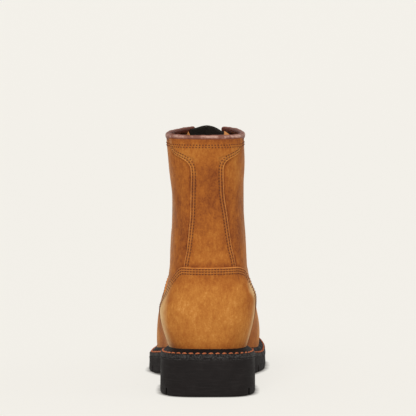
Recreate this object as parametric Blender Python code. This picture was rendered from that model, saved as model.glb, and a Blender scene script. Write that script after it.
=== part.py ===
"""Left lace-up work boot with an eight inch shaft, built as separate pieces.

+Y runs from heel to toe, +X is the inner (medial) side, +Z is up. The origin is on the floor,
under the middle of the boot. Sizes are in millimetres until a mesh is made, in metres.
"""

from collections import namedtuple

import bmesh
import bpy
import numpy as np

MM = 0.001
LATERAL, MEDIAL = -1, 1
SIDES = {"lateral": LATERAL, "medial": MEDIAL}

# Driving dimensions
SOLE_LENGTH = 304.0
COLLAR_HEIGHT, COLLAR_FRONT = 228.2, 229.0  # at the back seam, and over the tongue
TOE_SWING = 9.0  # how far the toe tip lies towards the inner side
SWING_START = 140.0  # distance from the heel's back where the swing starts
WALL = 2.0  # leather of the upper
OVERLAY = 1.4  # leather stitched over the upper
GAP = 0.3  # between pieces that touch
OVERLAY_GAP = 1.1  # under an overlay, whose facets lie across the upper's
MIDSOLE_THICKNESS = 2.3
WELT_EDGE = 1.5
WELT_LIP = 6.2
INSOLE_THICKNESS = 3.0
HEEL_BREAST = 86.0
BREAST_RUN = 2.0
LUG_DEPTH = 6.5
EDGE_ROUND = 0.8  # at the edges of the sole's layers
TREAD_FLARE = 0.3  # how far the tread spreads above its rounded lower edge
TREAD_ROUND, TREAD_ROUND_HEIGHT = 0.9, 2.0
END_CROWDING = 0.7  # how much closer together stations are at heel and toe
BREAST_CLEAR = 3.0  # no other station lies this close to the heel's breast

# Where the heel, waist and ball widths are measured, as shares of a section's length, and the share of the
# ball's width that is left at the toe before it is rounded off
HEEL_AT, WAIST_AT = 0.18, 0.42
BALL_AT = {LATERAL: 0.63, MEDIAL: 0.66}
TOE_SHARE = {LATERAL: 0.78, MEDIAL: 1.0}

# Height of the sole's layers along the boot: distance from the heel's back, height
SOLE_TOP = ((0, 36.4), (50, 33.7), (85, 30.7), (120, 25.3), (155, 19.2), (190, 15.3), (215, 14.9),
            (250, 16.7), (280, 20.5), (SOLE_LENGTH, 25.5))
SOLE_UNDER = ((HEEL_BREAST, 17.5), (120, 11.5), (150, 3.5), (168, 0), (235, 0), (260, 2), (285, 6.5),
              (SOLE_LENGTH, 11))

# One section of the form, from the heel's back to its front. Half widths are given at the heel, the
# waist and the ball, outer side first. follow is the share of the sole's own curve that it keeps.
Section = namedtuple(
    "Section",
    "back back_z front front_z heel_out heel_in waist_out waist_in ball_out ball_in"
    " back_round front_round back_power front_power follow",
)
SOLE_EDGE = Section(0, 0, SOLE_LENGTH, 0, 42.2, 42.6, 38.5, 36.5, 55.5, 52.6, 50, 92, 3.4, 2.5, 1)
UPPER_SECTIONS = (
    Section(10.5, 36.2, 294.2, 24.1, 30.8, 32.0, 32.5, 29.0, 45.0, 43.6, 50, 88, 2.7, 2.40, 1.00),
    Section(7.0, 53.5, 298.2, 38, 36.6, 36.2, 36.0, 32.5, 46.4, 45.0, 50, 88, 2.7, 2.40, 0.85),
    Section(4.6, 65.5, 296.0, 53, 40.0, 39.4, 37.2, 35.5, 45.2, 43.6, 52, 92, 2.7, 2.35, 0.60),
    Section(4.3, 77.5, 285.0, 67, 41.2, 41.6, 38.0, 38.0, 41.8, 41.4, 54, 108, 2.7, 2.20, 0.35),
    Section(5.5, 89.5, 262.0, 76.5, 38.4, 43.2, 37.0, 40.6, 38.0, 39.6, 54, 120, 2.7, 2.05, 0.15),
    Section(8.0, 100.5, 232.0, 86.5, 36.0, 38.6, 35.6, 38.4, 36.0, 38.0, 54, 115, 2.7, 2.00, 0.05),
    Section(10.5, 111.5, 202.0, 99, 34.2, 35.6, 34.4, 36.0, 34.6, 36.0, 54, 105, 2.7, 2.00, 0.00),
    Section(12.5, 125.5, 171.0, 117.5, 33.3, 35.0, 33.4, 35.0, 33.8, 34.5, 54, 92, 2.7, 2.00, 0.00),
    Section(13.5, 143.5, 149.5, 141.5, 32.3, 33.6, 32.3, 33.6, 32.8, 33.0, 54, 78, 2.7, 2.05, 0.00),
    Section(13.0, 179.5, 137.5, 179.5, 32.2, 32.6, 32.2, 32.6, 31.6, 32.2, 54, 71, 2.7, 2.10, 0.00),
    Section(11.0, 206.5, 133.5, 206.5, 35.9, 33.3, 35.0, 33.2, 32.8, 32.5, 54, 76, 2.7, 2.10, 0.00),
    Section(9.5, COLLAR_HEIGHT, 131.0, COLLAR_FRONT,
            38.2, 33.2, 36.0, 32.8, 32.6, 32.0, 54, 82, 2.7, 2.10, 0.00),
)

# Throat: where the lacing opening ends on the instep, and its half width from there to the collar
THROAT_FRONT = 197.0
THROAT_HALF_GAP = ((0, 0), (2, 5.6), (6, 8.6), (12, 10), (60, 12), (160, 17.5))
EYELET_PAIRS = 8
EYELET_INSET = 9.5
EYELET_FIRST, EYELET_LAST = 11.0, 13.0  # from the throat's end, and from the collar
EYELET_RADIUS, EYELET_BORE, EYELET_HEIGHT, EYELET_SIDES = 4.6, 2.4, 1.2, 8
EYELET_SLOPE = 0.9  # how much narrower an eyelet is at its top
HOLE_SIDES, HOLE_SPARE, HOLE_REACH = 6, 0.4, 8.0
LACE_RADIUS, LACE_SIDES, LACE_POINTS = 1.9, 5, 6
EYELET_GAP = 0.8  # under a flat eyelet on the curved leather
LACE_LIFT = EYELET_HEIGHT + EYELET_GAP + 2 * GAP + LACE_RADIUS
LACE_ARCH = 1.6  # how far the lace that lies on top rises at a crossing
LACE_STEP = 2.2  # a crossing starts and ends this far past its eyelets

# Edges of the overlays. Counter and backstay: height, girths from the back seam to the edge on the outer
# and on the inner side. Vamp: share of the way up from the welt, girth from the front to its seam.
PanelEdge = namedtuple("PanelEdge", "height outer inner")
COUNTER_EDGE = (
    PanelEdge(114, 0, 0),
    PanelEdge(114, 22, 27),
    PanelEdge(112.1, 27.3, 36.8),
    PanelEdge(109.5, 31.2, 42.8),
    PanelEdge(105.5, 36, 47.5),
    PanelEdge(100.5, 41, 51.4),
    PanelEdge(95.5, 46, 54.4),
    PanelEdge(87.4, 55.5, 59.5),
    PanelEdge(77.4, 67, 68),
    PanelEdge(66.2, 83, 83),
    PanelEdge(55.5, 104, 104),
    PanelEdge(46.8, 122, 122),
)
BACKSTAY_EDGE = (
    PanelEdge(114.9, 21.7, 26.5),
    PanelEdge(138.5, 17.6, 21),
    PanelEdge(161.5, 15.4, 17.6),
    PanelEdge(181.5, 14.9, 14.6),
    PanelEdge(196.5, 14.7, 14.1),
    PanelEdge(202.5, 15.2, 14.3),
    PanelEdge(206, 16.8, 15.4),
    PanelEdge(208.5, 19.4, 17.4),
    PanelEdge(211, 24.2, 21.6),
    PanelEdge(213.5, 31, 28.8),
    PanelEdge(216.5, 36.6, 35.4),
    PanelEdge(220, 39, 38.8),
    PanelEdge(COLLAR_HEIGHT, 42, 41.5),
)
BACKSTAY_STEM_TOP, BACKSTAY_HEAD_FOOT = 196.5, 200.5  # the stem's last row and the head's first
VAMP_REACH = ((0, 200), (0.25, 182), (0.5, 152), (0.75, 112), (0.9, 82), (1, 58))
VAMP_DROP = 7.0  # from the throat's end to the vamp's seam
VAMP_CROWDING = 1.3  # above 1 the vamp's columns are closer together at the toe

# Grid of the upper: rows at these distances above the throat's end, the rest spread with a bias to it
THROAT_ROWS = (2.0, 6.0, 12.0)
ROW_BIAS = 0.45
COLUMN_CROWDING = 0.09  # how much closer together the columns are round heel and toe

# Tongue and collar binding
TONGUE_HALF = 30.0
TONGUE_THICKNESS = 3.2
TONGUE_PEAK, TONGUE_SHOULDER, TONGUE_ARCH = 234.3, 228.2, 1.8
TONGUE_ROOT = 16.0  # below the throat's end
TONGUE_BEND, TONGUE_BENT = 0.8, 0.96  # levels between which it moves in to clear the binding
BINDING_WIDTH, BINDING_HEIGHT = 4.6, 3.8
BINDING_SHIFT = 0.5  # towards the inside, from the middle of the wall
BINDING_ROUND, BINDING_SHOULDER, BINDING_HEM = 1.6, 2.2, 0.8  # cut off its upper edges, and its lower ones

# Lug grooves: distance from the heel's back, and direction in degrees from straight outwards
HEEL_GROOVES = ((12, -50), (38, 0), (64, 0))
FOREPART_GROOVES = ((172, -8), (193, -4), (214, 0), (235, 6), (256, 16), (276, 30))
GROOVE_WIDTH, GROOVE_REACH = 3.2, 17.0
CENTRE_GROOVES = (182, 203, 224, 245)
CENTRE_GROOVE_HALF = 20.0
HEEL_RECESS = (28, 66, 17)  # from, to, half width
CUTTER_SPARE = 10.0  # how far a cutter reaches below the tread

COLOURS = {
    "rubber": ((0.022, 0.020, 0.019), 0.62),
    "leather": ((0.40, 0.155, 0.038), 0.85),
    "binding": ((0.16, 0.055, 0.035), 0.45),
    "lining": ((0.03, 0.027, 0.025), 0.9),
    "insole": ((0.18, 0.10, 0.06), 0.8),
    "lace": ((0.10, 0.05, 0.03), 0.8),
    "brass": ((0.30, 0.19, 0.08), 0.35),
}
SHARP_DEGREES = 40  # edges sharper than this stay crisp
SAME = 1e-6  # points (in metres) or levels closer than this count as one


# Curves and the form of the last

def smooth_through(table, at):
    """A curve through the table's points that never overshoots them."""
    x, y = np.array(table, float).T
    step, rise = np.diff(x), np.diff(y) / np.diff(x)
    slope = np.zeros(len(x))
    same_way = rise[:-1] * rise[1:] > 0
    mean = (step[:-1] + step[1:]) * 3
    outer = 2 * step[1:] + step[:-1]
    inner = step[1:] + 2 * step[:-1]
    with np.errstate(divide="ignore", invalid="ignore"):
        harmonic = mean / (outer / rise[:-1] + inner / rise[1:])
    slope[1:-1] = np.where(same_way, harmonic, 0)
    slope[0], slope[-1] = rise[0], rise[-1]
    at = np.clip(np.asarray(at, float), x[0], x[-1])
    i = np.clip(np.searchsorted(x, at) - 1, 0, len(x) - 2)
    h = step[i]
    q = (at - x[i]) / h
    return (y[i] * (1 + 2 * q) * (1 - q) ** 2 + slope[i] * h * q * (1 - q) ** 2
            + y[i + 1] * q * q * (3 - 2 * q) - slope[i + 1] * h * q * q * (1 - q))


def swing(along):
    """Sideways place of the boot's middle line, bending to the inner side at the toe."""
    share = np.clip((along - SWING_START) / (SOLE_LENGTH - SWING_START), 0, None)
    return TOE_SWING * share ** 2


def half_width(section, side, along, inset=0.0):
    """Half width of a section at distances along the boot, rounded off at heel and toe."""
    back, front = section.back + inset, section.front - inset
    if side == LATERAL:
        heel_width, waist_width, ball_width = section.heel_out, section.waist_out, section.ball_out
    else:
        heel_width, waist_width, ball_width = section.heel_in, section.waist_in, section.ball_in
    widths = (
        (0, heel_width),
        (HEEL_AT, heel_width),
        (WAIST_AT, waist_width),
        (BALL_AT[side], ball_width),
        (1, ball_width * TOE_SHARE[side]),
    )
    core = smooth_through(widths, (along - back) / (front - back)) - inset
    heel = np.clip(1 - (along - back) / (section.back_round - inset), 0, 1)
    toe = np.clip(1 - (front - along) / (section.front_round - inset), 0, 1)
    heel_cap = (1 - heel ** section.back_power) ** (1 / section.back_power)
    toe_cap = (1 - toe ** section.front_power) ** (1 / section.front_power)
    return core * heel_cap * toe_cap


def stations(count, back, front):
    """Distances along the boot, closer together at heel and toe."""
    angle = np.linspace(0, np.pi, count)
    share = (1 - np.cos(angle)) / 2
    even = np.linspace(0, 1, count)
    return back + (front - back) * (END_CROWDING * share + (1 - END_CROWDING) * even)


def section_line(section, side, count=240):
    """Points of half a section, from the back seam to the front."""
    share = (1 - np.cos(np.linspace(0, np.pi, count))) / 2
    along = section.back + (section.front - section.back) * share
    x = side * half_width(section, side, along) + swing(along)
    ends = smooth_through(SOLE_TOP, np.array([section.back, section.front]))
    own_curve = smooth_through(SOLE_TOP, along) - (ends[0] + (ends[1] - ends[0]) * share)
    z = section.back_z + (section.front_z - section.back_z) * share + section.follow * own_curve
    return np.stack([x, along - SOLE_LENGTH / 2, z], axis=1)


def even_line(points, count=400):
    """The same line with points at equal distances."""
    run = np.concatenate([[0], np.cumsum(np.linalg.norm(np.diff(points, axis=0), axis=1))])
    at = np.linspace(0, run[-1], count)
    return np.stack([np.interp(at, run, points[:, k]) for k in range(3)], axis=1)


def spline_bend(knots):
    """Second derivatives of a natural cubic spline at its knots, as a matrix on the knot values."""
    n, h = len(knots), np.diff(knots)
    left, right = np.eye(n), np.zeros((n, n))
    for i in range(1, n - 1):
        left[i, i - 1:i + 2] = h[i - 1] / 6, (h[i - 1] + h[i]) / 3, h[i] / 6
        right[i, i - 1:i + 2] = 1 / h[i - 1], -1 / h[i - 1] - 1 / h[i], 1 / h[i]
    return np.linalg.solve(left, right)


class Form:
    """The upper's outer surface: u from the back seam (0) to the front (1), t from sole (0) to collar (1)."""

    def __init__(self, sections):
        self.lines = {
            side: np.stack([even_line(section_line(s, side)) for s in sections]) for side in SIDES.values()
        }
        both = np.concatenate([self.lines[LATERAL], self.lines[MEDIAL]], axis=1)
        steps = np.linalg.norm(np.diff(both, axis=0), axis=2).mean(axis=1)
        self.knots = np.concatenate([[0], np.cumsum(steps)]) / steps.sum()
        self.bend = spline_bend(self.knots)

    def weights(self, t):
        i = np.clip(np.searchsorted(self.knots, t) - 1, 0, len(self.knots) - 2)
        h = self.knots[i + 1] - self.knots[i]
        p = (self.knots[i + 1] - t) / h
        q = 1 - p
        w = ((p ** 3 - p) * h * h / 6)[:, None] * self.bend[i]
        w += ((q ** 3 - q) * h * h / 6)[:, None] * self.bend[i + 1]
        rows = np.arange(len(t))
        w[rows, i] += p
        w[rows, i + 1] += q
        return w

    def point(self, side, u, t):
        side, u, t = np.broadcast_arrays(np.asarray(side), np.asarray(u, float), np.asarray(t, float))
        shape = u.shape
        side, u, t = side.ravel(), np.clip(u.ravel(), 0, 1), t.ravel()
        last = self.lines[LATERAL].shape[1] - 1
        i = np.clip((u * last).astype(int), 0, last - 1)
        share = (u * last - i)[:, None]
        w = self.weights(t)
        out = np.zeros((len(u), 3))
        for s, lines in self.lines.items():
            at = side == s
            along = lines[:, i[at]] * (1 - share[at]) + lines[:, i[at] + 1] * share[at]
            out[at] = np.einsum("kr,rkc->kc", w[at], along)
        return out.reshape(*shape, 3)

    def normal(self, side, u, t):
        du, dt = 0.004, 0.004
        side, u, t = np.broadcast_arrays(np.asarray(side), np.asarray(u, float), np.asarray(t, float))
        round_way = self.point(side, u + du, t) - self.point(side, u - du, t)
        across = side[..., None] * np.array([1.0, 0, 0])
        round_way = np.where((u < du)[..., None], across, round_way)
        round_way = np.where((u > 1 - du)[..., None], -across, round_way)
        up_way = self.point(side, u, np.minimum(t + dt, 1)) - self.point(side, u, np.maximum(t - dt, 0))
        n = np.cross(round_way, up_way) * side[..., None]
        return n / np.linalg.norm(n, axis=-1, keepdims=True)

    def offset(self, side, u, t, distance):
        return self.point(side, u, t) + self.normal(side, u, t) * np.asarray(distance)[..., None]

    def half_girth(self, side, t):
        u = np.linspace(0, 1, 81)
        t = np.atleast_1d(np.asarray(t, float))
        line = self.point(side, np.tile(u, (len(t), 1)), np.tile(t[:, None], (1, len(u))))
        return np.linalg.norm(np.diff(line, axis=1), axis=2).sum(axis=1)

    def level(self, side, u, z):
        """t where the surface reaches a height on the line u."""
        t = np.linspace(0, 1, 161)
        heights = self.point(side, u, t)[:, 2]
        return np.interp(z, heights, t)

    def at_girth(self, side, girth, z):
        """u and t of the point at this girth from the back seam and this height."""
        u, t = 0.0, 0.5
        for _ in range(6):
            t = self.level(side, u, z)
            u = girth / self.half_girth(side, t)[0]
        return u, t


FORM = Form(UPPER_SECTIONS)


def ridge_level(along):
    """t where the front ridge is this far from the heel's back."""
    t = np.linspace(0.2, 1, 321)
    y = FORM.point(MEDIAL, 1.0, t)[:, 1] + SOLE_LENGTH / 2
    return np.interp(-along, -y, t)


def ridge_run(t):
    """Length along the front ridge from the throat's end up to t."""
    fine = np.linspace(THROAT_END, 1, 200)
    line = FORM.point(MEDIAL, 1.0, fine)
    run = np.concatenate([[0], np.cumsum(np.linalg.norm(np.diff(line, axis=0), axis=1))])
    return np.interp(t, fine, run)


def ridge_at(run):
    """t at a length along the front ridge from the throat's end."""
    fine = np.linspace(THROAT_END, 1, 200)
    return np.interp(run, ridge_run(fine), fine)


THROAT_END = float(ridge_level(THROAT_FRONT))
THROAT_RUN = float(ridge_run(1.0))


def throat_edge(side, t):
    """u of the throat's edge, 1 below its end."""
    gap = smooth_through(THROAT_HALF_GAP, ridge_run(t)) * (np.asarray(t) > THROAT_END)
    return 1 - gap / FORM.half_girth(side, t)


# Meshes and objects

def material(name):
    colour, roughness = COLOURS[name]
    made = bpy.data.materials.get(name) or bpy.data.materials.new(name)
    made.use_nodes = True
    shader = made.node_tree.nodes["Principled BSDF"]
    shader.inputs["Base Color"].default_value = (*colour, 1)
    shader.inputs["Roughness"].default_value = roughness
    shader.inputs["Metallic"].default_value = 1.0 if name == "brass" else 0.0
    return made


def make_object(name, points, faces, material_name, cutter=False):
    """A closed mesh from points in millimetres, with its faces turned outwards."""
    mesh = bpy.data.meshes.new(name)
    mesh.from_pydata((np.asarray(points) * MM).tolist(), [], faces)
    work = bmesh.new()
    work.from_mesh(mesh)
    bmesh.ops.remove_doubles(work, verts=work.verts, dist=SAME)
    bmesh.ops.recalc_face_normals(work, faces=work.faces)
    bmesh.ops.triangulate(work, faces=[f for f in work.faces if len(f.verts) > 3])
    work.to_mesh(mesh)
    work.free()
    mesh.shade_smooth()
    mesh.set_sharp_from_angle(angle=np.radians(SHARP_DEGREES))
    made = bpy.data.objects.new(name, mesh)
    made.data.materials.append(material(material_name))
    bpy.context.scene.collection.objects.link(made)
    if cutter:
        made.hide_render = True
        made.display_type = "WIRE"
    return made


def combine(target, tool, operation):
    modifier = target.modifiers.new(f"{operation.lower()} {tool.name}", "BOOLEAN")
    modifier.operation = operation
    modifier.object = tool
    modifier.solver = "EXACT"


def shell(name, side, u, t, low, high, material_name):
    """A closed sheet over a grid of the form, between two distances from its surface."""
    rows, columns = u.shape
    under = FORM.offset(side, u, t, np.full(u.shape, low)).reshape(-1, 3)
    over = FORM.offset(side, u, t, np.full(u.shape, high)).reshape(-1, 3)
    return sheet(name, under, over, rows, columns, material_name)


def sheet(name, under, over, rows, columns, material_name):
    """A closed sheet between two grids of points."""
    points = np.concatenate([under, over])
    top = rows * columns
    faces = []
    for r in range(rows - 1):
        for c in range(columns - 1):
            a, b = r * columns + c, (r + 1) * columns + c
            faces.append((a, b, b + 1, a + 1))
            faces.append((top + a, top + a + 1, top + b + 1, top + b))
    rim = list(range(columns))
    rim += [r * columns + columns - 1 for r in range(1, rows)]
    rim += [(rows - 1) * columns + c for c in range(columns - 2, -1, -1)]
    rim += [r * columns for r in range(rows - 2, 0, -1)]
    for i, a in enumerate(rim):
        b = rim[(i + 1) % len(rim)]
        faces.append((a, b, top + b, top + a))
    return make_object(name, points, faces, material_name)


def tube(name, path, radius, sides, material_name, cutter=False):
    """A round bar along a path, closed at both ends."""
    path = np.asarray(path, float)
    way = np.gradient(path, axis=0)
    way /= np.linalg.norm(way, axis=1, keepdims=True)
    lift = np.cross(way, [0.0, 0.0, 1.0])
    lift /= np.linalg.norm(lift, axis=1, keepdims=True)
    aside = np.cross(way, lift)
    angle = np.linspace(0, 2 * np.pi, sides, endpoint=False)
    ring = np.cos(angle)[None, :, None] * lift[:, None] + np.sin(angle)[None, :, None] * aside[:, None]
    points = (path[:, None] + radius * ring).reshape(-1, 3)
    faces = [tuple(range(sides)), tuple(len(points) - sides + k for k in range(sides))]
    for r in range(len(path) - 1):
        for k in range(sides):
            a, b = r * sides + k, r * sides + (k + 1) % sides
            faces.append((a, b, b + sides, a + sides))
    return make_object(name, points, faces, material_name, cutter)


def box(name, corner, size, turn, material_name="rubber"):
    """A cutter with its middle line through a place, turned about the vertical."""
    x, y, z = np.meshgrid((-1, 1), (-1, 1), (-1, 1), indexing="ij")
    local = np.stack([x.ravel() * size[0], y.ravel() * size[1], z.ravel() * size[2]], axis=1) / 2
    c, s = np.cos(turn), np.sin(turn)
    points = local @ np.array([[c, s, 0], [-s, c, 0], [0, 0, 1]]) + np.asarray(corner)
    faces = [(0, 1, 3, 2), (4, 5, 7, 6), (0, 1, 5, 4), (2, 3, 7, 6), (0, 2, 6, 4), (1, 3, 7, 5)]
    return make_object(name, points, faces, material_name, cutter=True)


# Sole

def sole_levels(along):
    """Height of the tread's underside, with the heel standing on the floor."""
    breast = np.clip((along - HEEL_BREAST) / BREAST_RUN, 0, 1)
    under = smooth_through(SOLE_UNDER, np.maximum(along, HEEL_BREAST + BREAST_RUN))
    return np.where(along <= HEEL_BREAST, 0, under * breast)


def sole_stations(count=36):
    """Stations with a pair at the heel's breast, for its upright face."""
    along = stations(count, SOLE_EDGE.back, SOLE_EDGE.front)
    keep = (along < HEEL_BREAST - BREAST_CLEAR) | (along > HEEL_BREAST + BREAST_RUN + BREAST_CLEAR)
    return np.sort(np.concatenate([along[keep], [HEEL_BREAST, HEEL_BREAST + BREAST_RUN]]))


def outline(section, along, inset):
    """Both edges of a section seen from above, at the given stations."""
    inside = np.clip(along, section.back + inset, section.front - inset)
    edges = [s * half_width(section, s, inside, inset) + swing(inside) for s in (LATERAL, MEDIAL)]
    return inside - SOLE_LENGTH / 2, edges[0], edges[1]


def slab(name, section, along, levels, material_name):
    """A solid with the section's outline: levels is a list of (inset, height at each station)."""
    count = len(along)
    rings = []
    for inset, height in levels:
        y, outer, inner = outline(section, along, inset)
        rings.append(np.stack([outer, y, height], axis=1))
        rings.append(np.stack([inner, y, height], axis=1))
    points = np.concatenate(rings)
    faces = []

    def at(level, side, i):
        return (2 * level + side) * count + i

    top, bottom = 0, len(levels) - 1
    for i in range(count - 1):
        for level in (top, bottom):
            faces.append((at(level, 0, i), at(level, 0, i + 1), at(level, 1, i + 1), at(level, 1, i)))
        for level in range(bottom):
            for side in (0, 1):
                faces.append((at(level, side, i), at(level, side, i + 1),
                              at(level + 1, side, i + 1), at(level + 1, side, i)))
    for level in range(bottom):
        for i in (0, count - 1):
            faces.append((at(level, 0, i), at(level, 1, i), at(level + 1, 1, i), at(level + 1, 0, i)))
    return make_object(name, points, faces, material_name)


def groove_cutters():
    """Notches round the edge of heel and forepart, and bars across the forepart's middle."""
    cutters = []
    depth = LUG_DEPTH + CUTTER_SPARE
    for name, side in SIDES.items():
        for group, grooves in (("heel", HEEL_GROOVES), ("forepart", FOREPART_GROOVES)):
            for k, (along, degrees) in enumerate(grooves, 1):
                at = np.array([float(along)])
                edge = side * half_width(SOLE_EDGE, side, at)[0]
                place = cutter_place(edge, along)
                turn = np.radians(degrees) * side
                size = (2 * GROOVE_REACH, GROOVE_WIDTH, depth)
                cutters.append(box(f"groove_{group}_{name}_{k}", place, size, turn))
    for k, along in enumerate(CENTRE_GROOVES, 1):
        size = (2 * CENTRE_GROOVE_HALF, GROOVE_WIDTH, depth)
        cutters.append(box(f"groove_middle_{k}", cutter_place(0, along), size, 0))
    back, front, half = HEEL_RECESS
    place = cutter_place(0, (back + front) / 2)
    cutters.append(box("heel_recess", place, (2 * half, front - back, depth), 0))
    return cutters


def cutter_place(aside, along):
    """Middle of a cutter that goes up into the tread by the lugs' depth."""
    at = np.array([float(along)])
    height = sole_levels(at)[0] + (LUG_DEPTH - CUTTER_SPARE) / 2
    return aside + swing(at)[0], along - SOLE_LENGTH / 2, height


def make_sole():
    along = sole_stations()
    top = smooth_through(SOLE_TOP, along)
    under = sole_levels(along)
    tread_top = top - MIDSOLE_THICKNESS - GAP
    outsole = slab("outsole", SOLE_EDGE, along, [
        (EDGE_ROUND, tread_top),
        (0.0, tread_top - EDGE_ROUND),
        (-TREAD_FLARE, under + TREAD_ROUND_HEIGHT),
        (TREAD_ROUND, under),
    ], "rubber")
    for cutter in groove_cutters():
        combine(outsole, cutter, "DIFFERENCE")
    layer = stations(34, SOLE_EDGE.back, SOLE_EDGE.front)
    top = smooth_through(SOLE_TOP, layer)
    slab("midsole", SOLE_EDGE, layer, [
        (EDGE_ROUND / 2, top),
        (0.0, top - EDGE_ROUND),
        (EDGE_ROUND / 2, top - MIDSOLE_THICKNESS),
    ], "rubber")
    insole_run = stations(26, UPPER_SECTIONS[0].back, UPPER_SECTIONS[0].front)
    floor = smooth_through(SOLE_TOP, insole_run) + GAP
    inset = WALL + 3 * GAP
    slab("insole", UPPER_SECTIONS[0], insole_run,
         [(inset, floor + INSOLE_THICKNESS), (inset, floor)], "insole")


def make_welt(count=32):
    """The welt: a strip round the upper's foot, with a lip that rises against the leather."""
    along = stations(count, SOLE_EDGE.back, SOLE_EDGE.front)
    top = smooth_through(SOLE_TOP, along) + GAP
    loops = []
    for inset, rise in ((GAP, 0.0), (GAP, WELT_EDGE - EDGE_ROUND / 2), (EDGE_ROUND, WELT_EDGE)):
        y, outer, inner = outline(SOLE_EDGE, along, inset)
        loops.append(closed_loop(outer, inner, y, top + rise))
    u = np.linspace(0, 1, count)
    for rise in (WELT_LIP, 0.0):
        line = []
        for side in (LATERAL, MEDIAL):
            foot = FORM.point(side, u, 0.0)[:, 2]
            t = np.array([FORM.level(side, a, z + rise) for a, z in zip(u, foot)])
            line.append(FORM.offset(side, u, t, np.full(count, 2 * GAP)))
        lateral, medial = line
        loops.append(np.concatenate([lateral, medial[-2:0:-1]]))
    points = np.concatenate(loops)
    n, levels = len(loops[0]), len(loops)
    faces = [
        (r * n + i, r * n + (i + 1) % n, (r + 1) % levels * n + (i + 1) % n, (r + 1) % levels * n + i)
        for r in range(levels) for i in range(n)
    ]
    make_object("welt", points, faces, "rubber")


def closed_loop(outer, inner, y, z):
    """Lateral edge from heel to toe, then the medial edge back, without repeating the ends."""
    lateral = np.stack([outer, y, z], axis=1)
    medial = np.stack([inner, y, z], axis=1)
    return np.concatenate([lateral, medial[-2:0:-1]])


# Upper

def upper_rows():
    """Levels of the upper's grid, closer together where the throat opens."""
    closed = np.append(np.linspace(0, ridge_drop(VAMP_DROP), 9), THROAT_END)
    share = np.linspace(0, 1, 9)[1:]
    last = THROAT_ROWS[-1]
    rest = last + (THROAT_RUN - last) * ((1 - ROW_BIAS) * share + ROW_BIAS * share ** 2)
    return np.concatenate([closed, ridge_at(np.append(THROAT_ROWS, rest))])


def column_shares(count=21):
    """Shares of the half girth, closer together round heel and toe."""
    even = np.linspace(0, 1, count)
    return even - COLUMN_CROWDING * np.sin(2 * np.pi * even) / np.pi


def make_upper():
    rows, shares = upper_rows(), column_shares()
    last = len(shares) - 1
    closed = rows <= THROAT_END + SAME
    points, index = [], {}
    for layer, distance in (("out", 0.0), ("in", -WALL)):
        for r, t in enumerate(rows):
            for side in (LATERAL, MEDIAL):
                u = shares * (1.0 if closed[r] else throat_edge(side, t)[0])
                places = FORM.offset(side, u, np.full(len(u), t), np.full(len(u), distance))
                for c, place in enumerate(places):
                    shared = c == 0 or (c == last and closed[r])
                    key = (layer, r, MEDIAL if shared else side, c)
                    if key not in index:
                        index[key] = len(points)
                        points.append(place)

    def at(layer, r, side, c):
        shared = c == 0 or (c == last and closed[r])
        return index[(layer, r, MEDIAL if shared else side, c)]

    faces = []
    for side in (LATERAL, MEDIAL):
        for layer in ("out", "in"):
            for r in range(len(rows) - 1):
                for c in range(last):
                    faces.append((at(layer, r, side, c), at(layer, r, side, c + 1),
                                  at(layer, r + 1, side, c + 1), at(layer, r + 1, side, c)))
        for r in (0, len(rows) - 1):
            for c in range(last):
                faces.append((at("out", r, side, c), at("out", r, side, c + 1),
                              at("in", r, side, c + 1), at("in", r, side, c)))
        for r in range(int(closed.sum()) - 1, len(rows) - 1):
            faces.append((at("out", r, side, last), at("out", r + 1, side, last),
                          at("in", r + 1, side, last), at("in", r, side, last)))
    upper = make_object("upper", points, faces, "leather")
    for name, place, way in eyelet_places():
        path = np.stack([place - way * HOLE_REACH, place + way * HOLE_REACH])
        hole = tube(f"hole_{name}", path, EYELET_BORE + HOLE_SPARE, HOLE_SIDES, "leather", cutter=True)
        combine(upper, hole, "DIFFERENCE")


def signed_grid(edge, columns):
    """Side and magnitude of columns that run from the lateral edge over the middle to the medial edge."""
    spread = np.linspace(-edge, edge, columns)
    return np.where(spread < 0, LATERAL, MEDIAL), np.abs(spread)


def panel_edge(table, side):
    """Heights and girths of a panel's edge on one side."""
    return np.array([(row.height, row.outer if side == LATERAL else row.inner) for row in table], float)


def make_counter(columns=25, rows=7):
    side, girth = signed_grid(COUNTER_EDGE[-1].outer, columns)
    u, t = np.zeros((rows, columns)), np.zeros((rows, columns))
    for c in range(columns):
        top = smooth_through(panel_edge(COUNTER_EDGE, side[c])[:, ::-1], girth[c])
        for r, share in enumerate(np.linspace(0, 1, rows)):
            foot = lip_height(side[c], girth[c])
            u[r, c], t[r, c] = FORM.at_girth(side[c], girth[c], foot + (top - foot) * share)
    shell("counter", np.tile(side, (rows, 1)), u, t, OVERLAY_GAP, OVERLAY_GAP + OVERLAY, "leather")


def lip_height(side, girth):
    """Height just above the welt's lip at a girth from the back seam."""
    u = girth / FORM.half_girth(side, 0.0)[0]
    return FORM.point(side, u, 0.0)[2] + WELT_LIP + 2 * GAP


def make_backstay(columns=9, stem_rows=9, head_rows=7):
    """The panel over the back seam: a wide head under the collar and a waisted stem."""
    stem = np.linspace(BACKSTAY_EDGE[0].height, BACKSTAY_STEM_TOP, stem_rows)
    head = np.linspace(BACKSTAY_HEAD_FOOT, COLLAR_HEIGHT - GAP, head_rows)
    heights = np.concatenate([stem, head])
    rows = len(heights)
    u, t = np.zeros((rows, columns)), np.zeros((rows, columns))
    side, share = signed_grid(1.0, columns)
    for c in range(columns):
        half = smooth_through(panel_edge(BACKSTAY_EDGE, side[c]), heights)
        for r, z in enumerate(heights):
            u[r, c], t[r, c] = FORM.at_girth(side[c], share[c] * half[r], z)
    shell("backstay", np.tile(side, (rows, 1)), u, t, OVERLAY_GAP, OVERLAY_GAP + OVERLAY, "leather")


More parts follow.
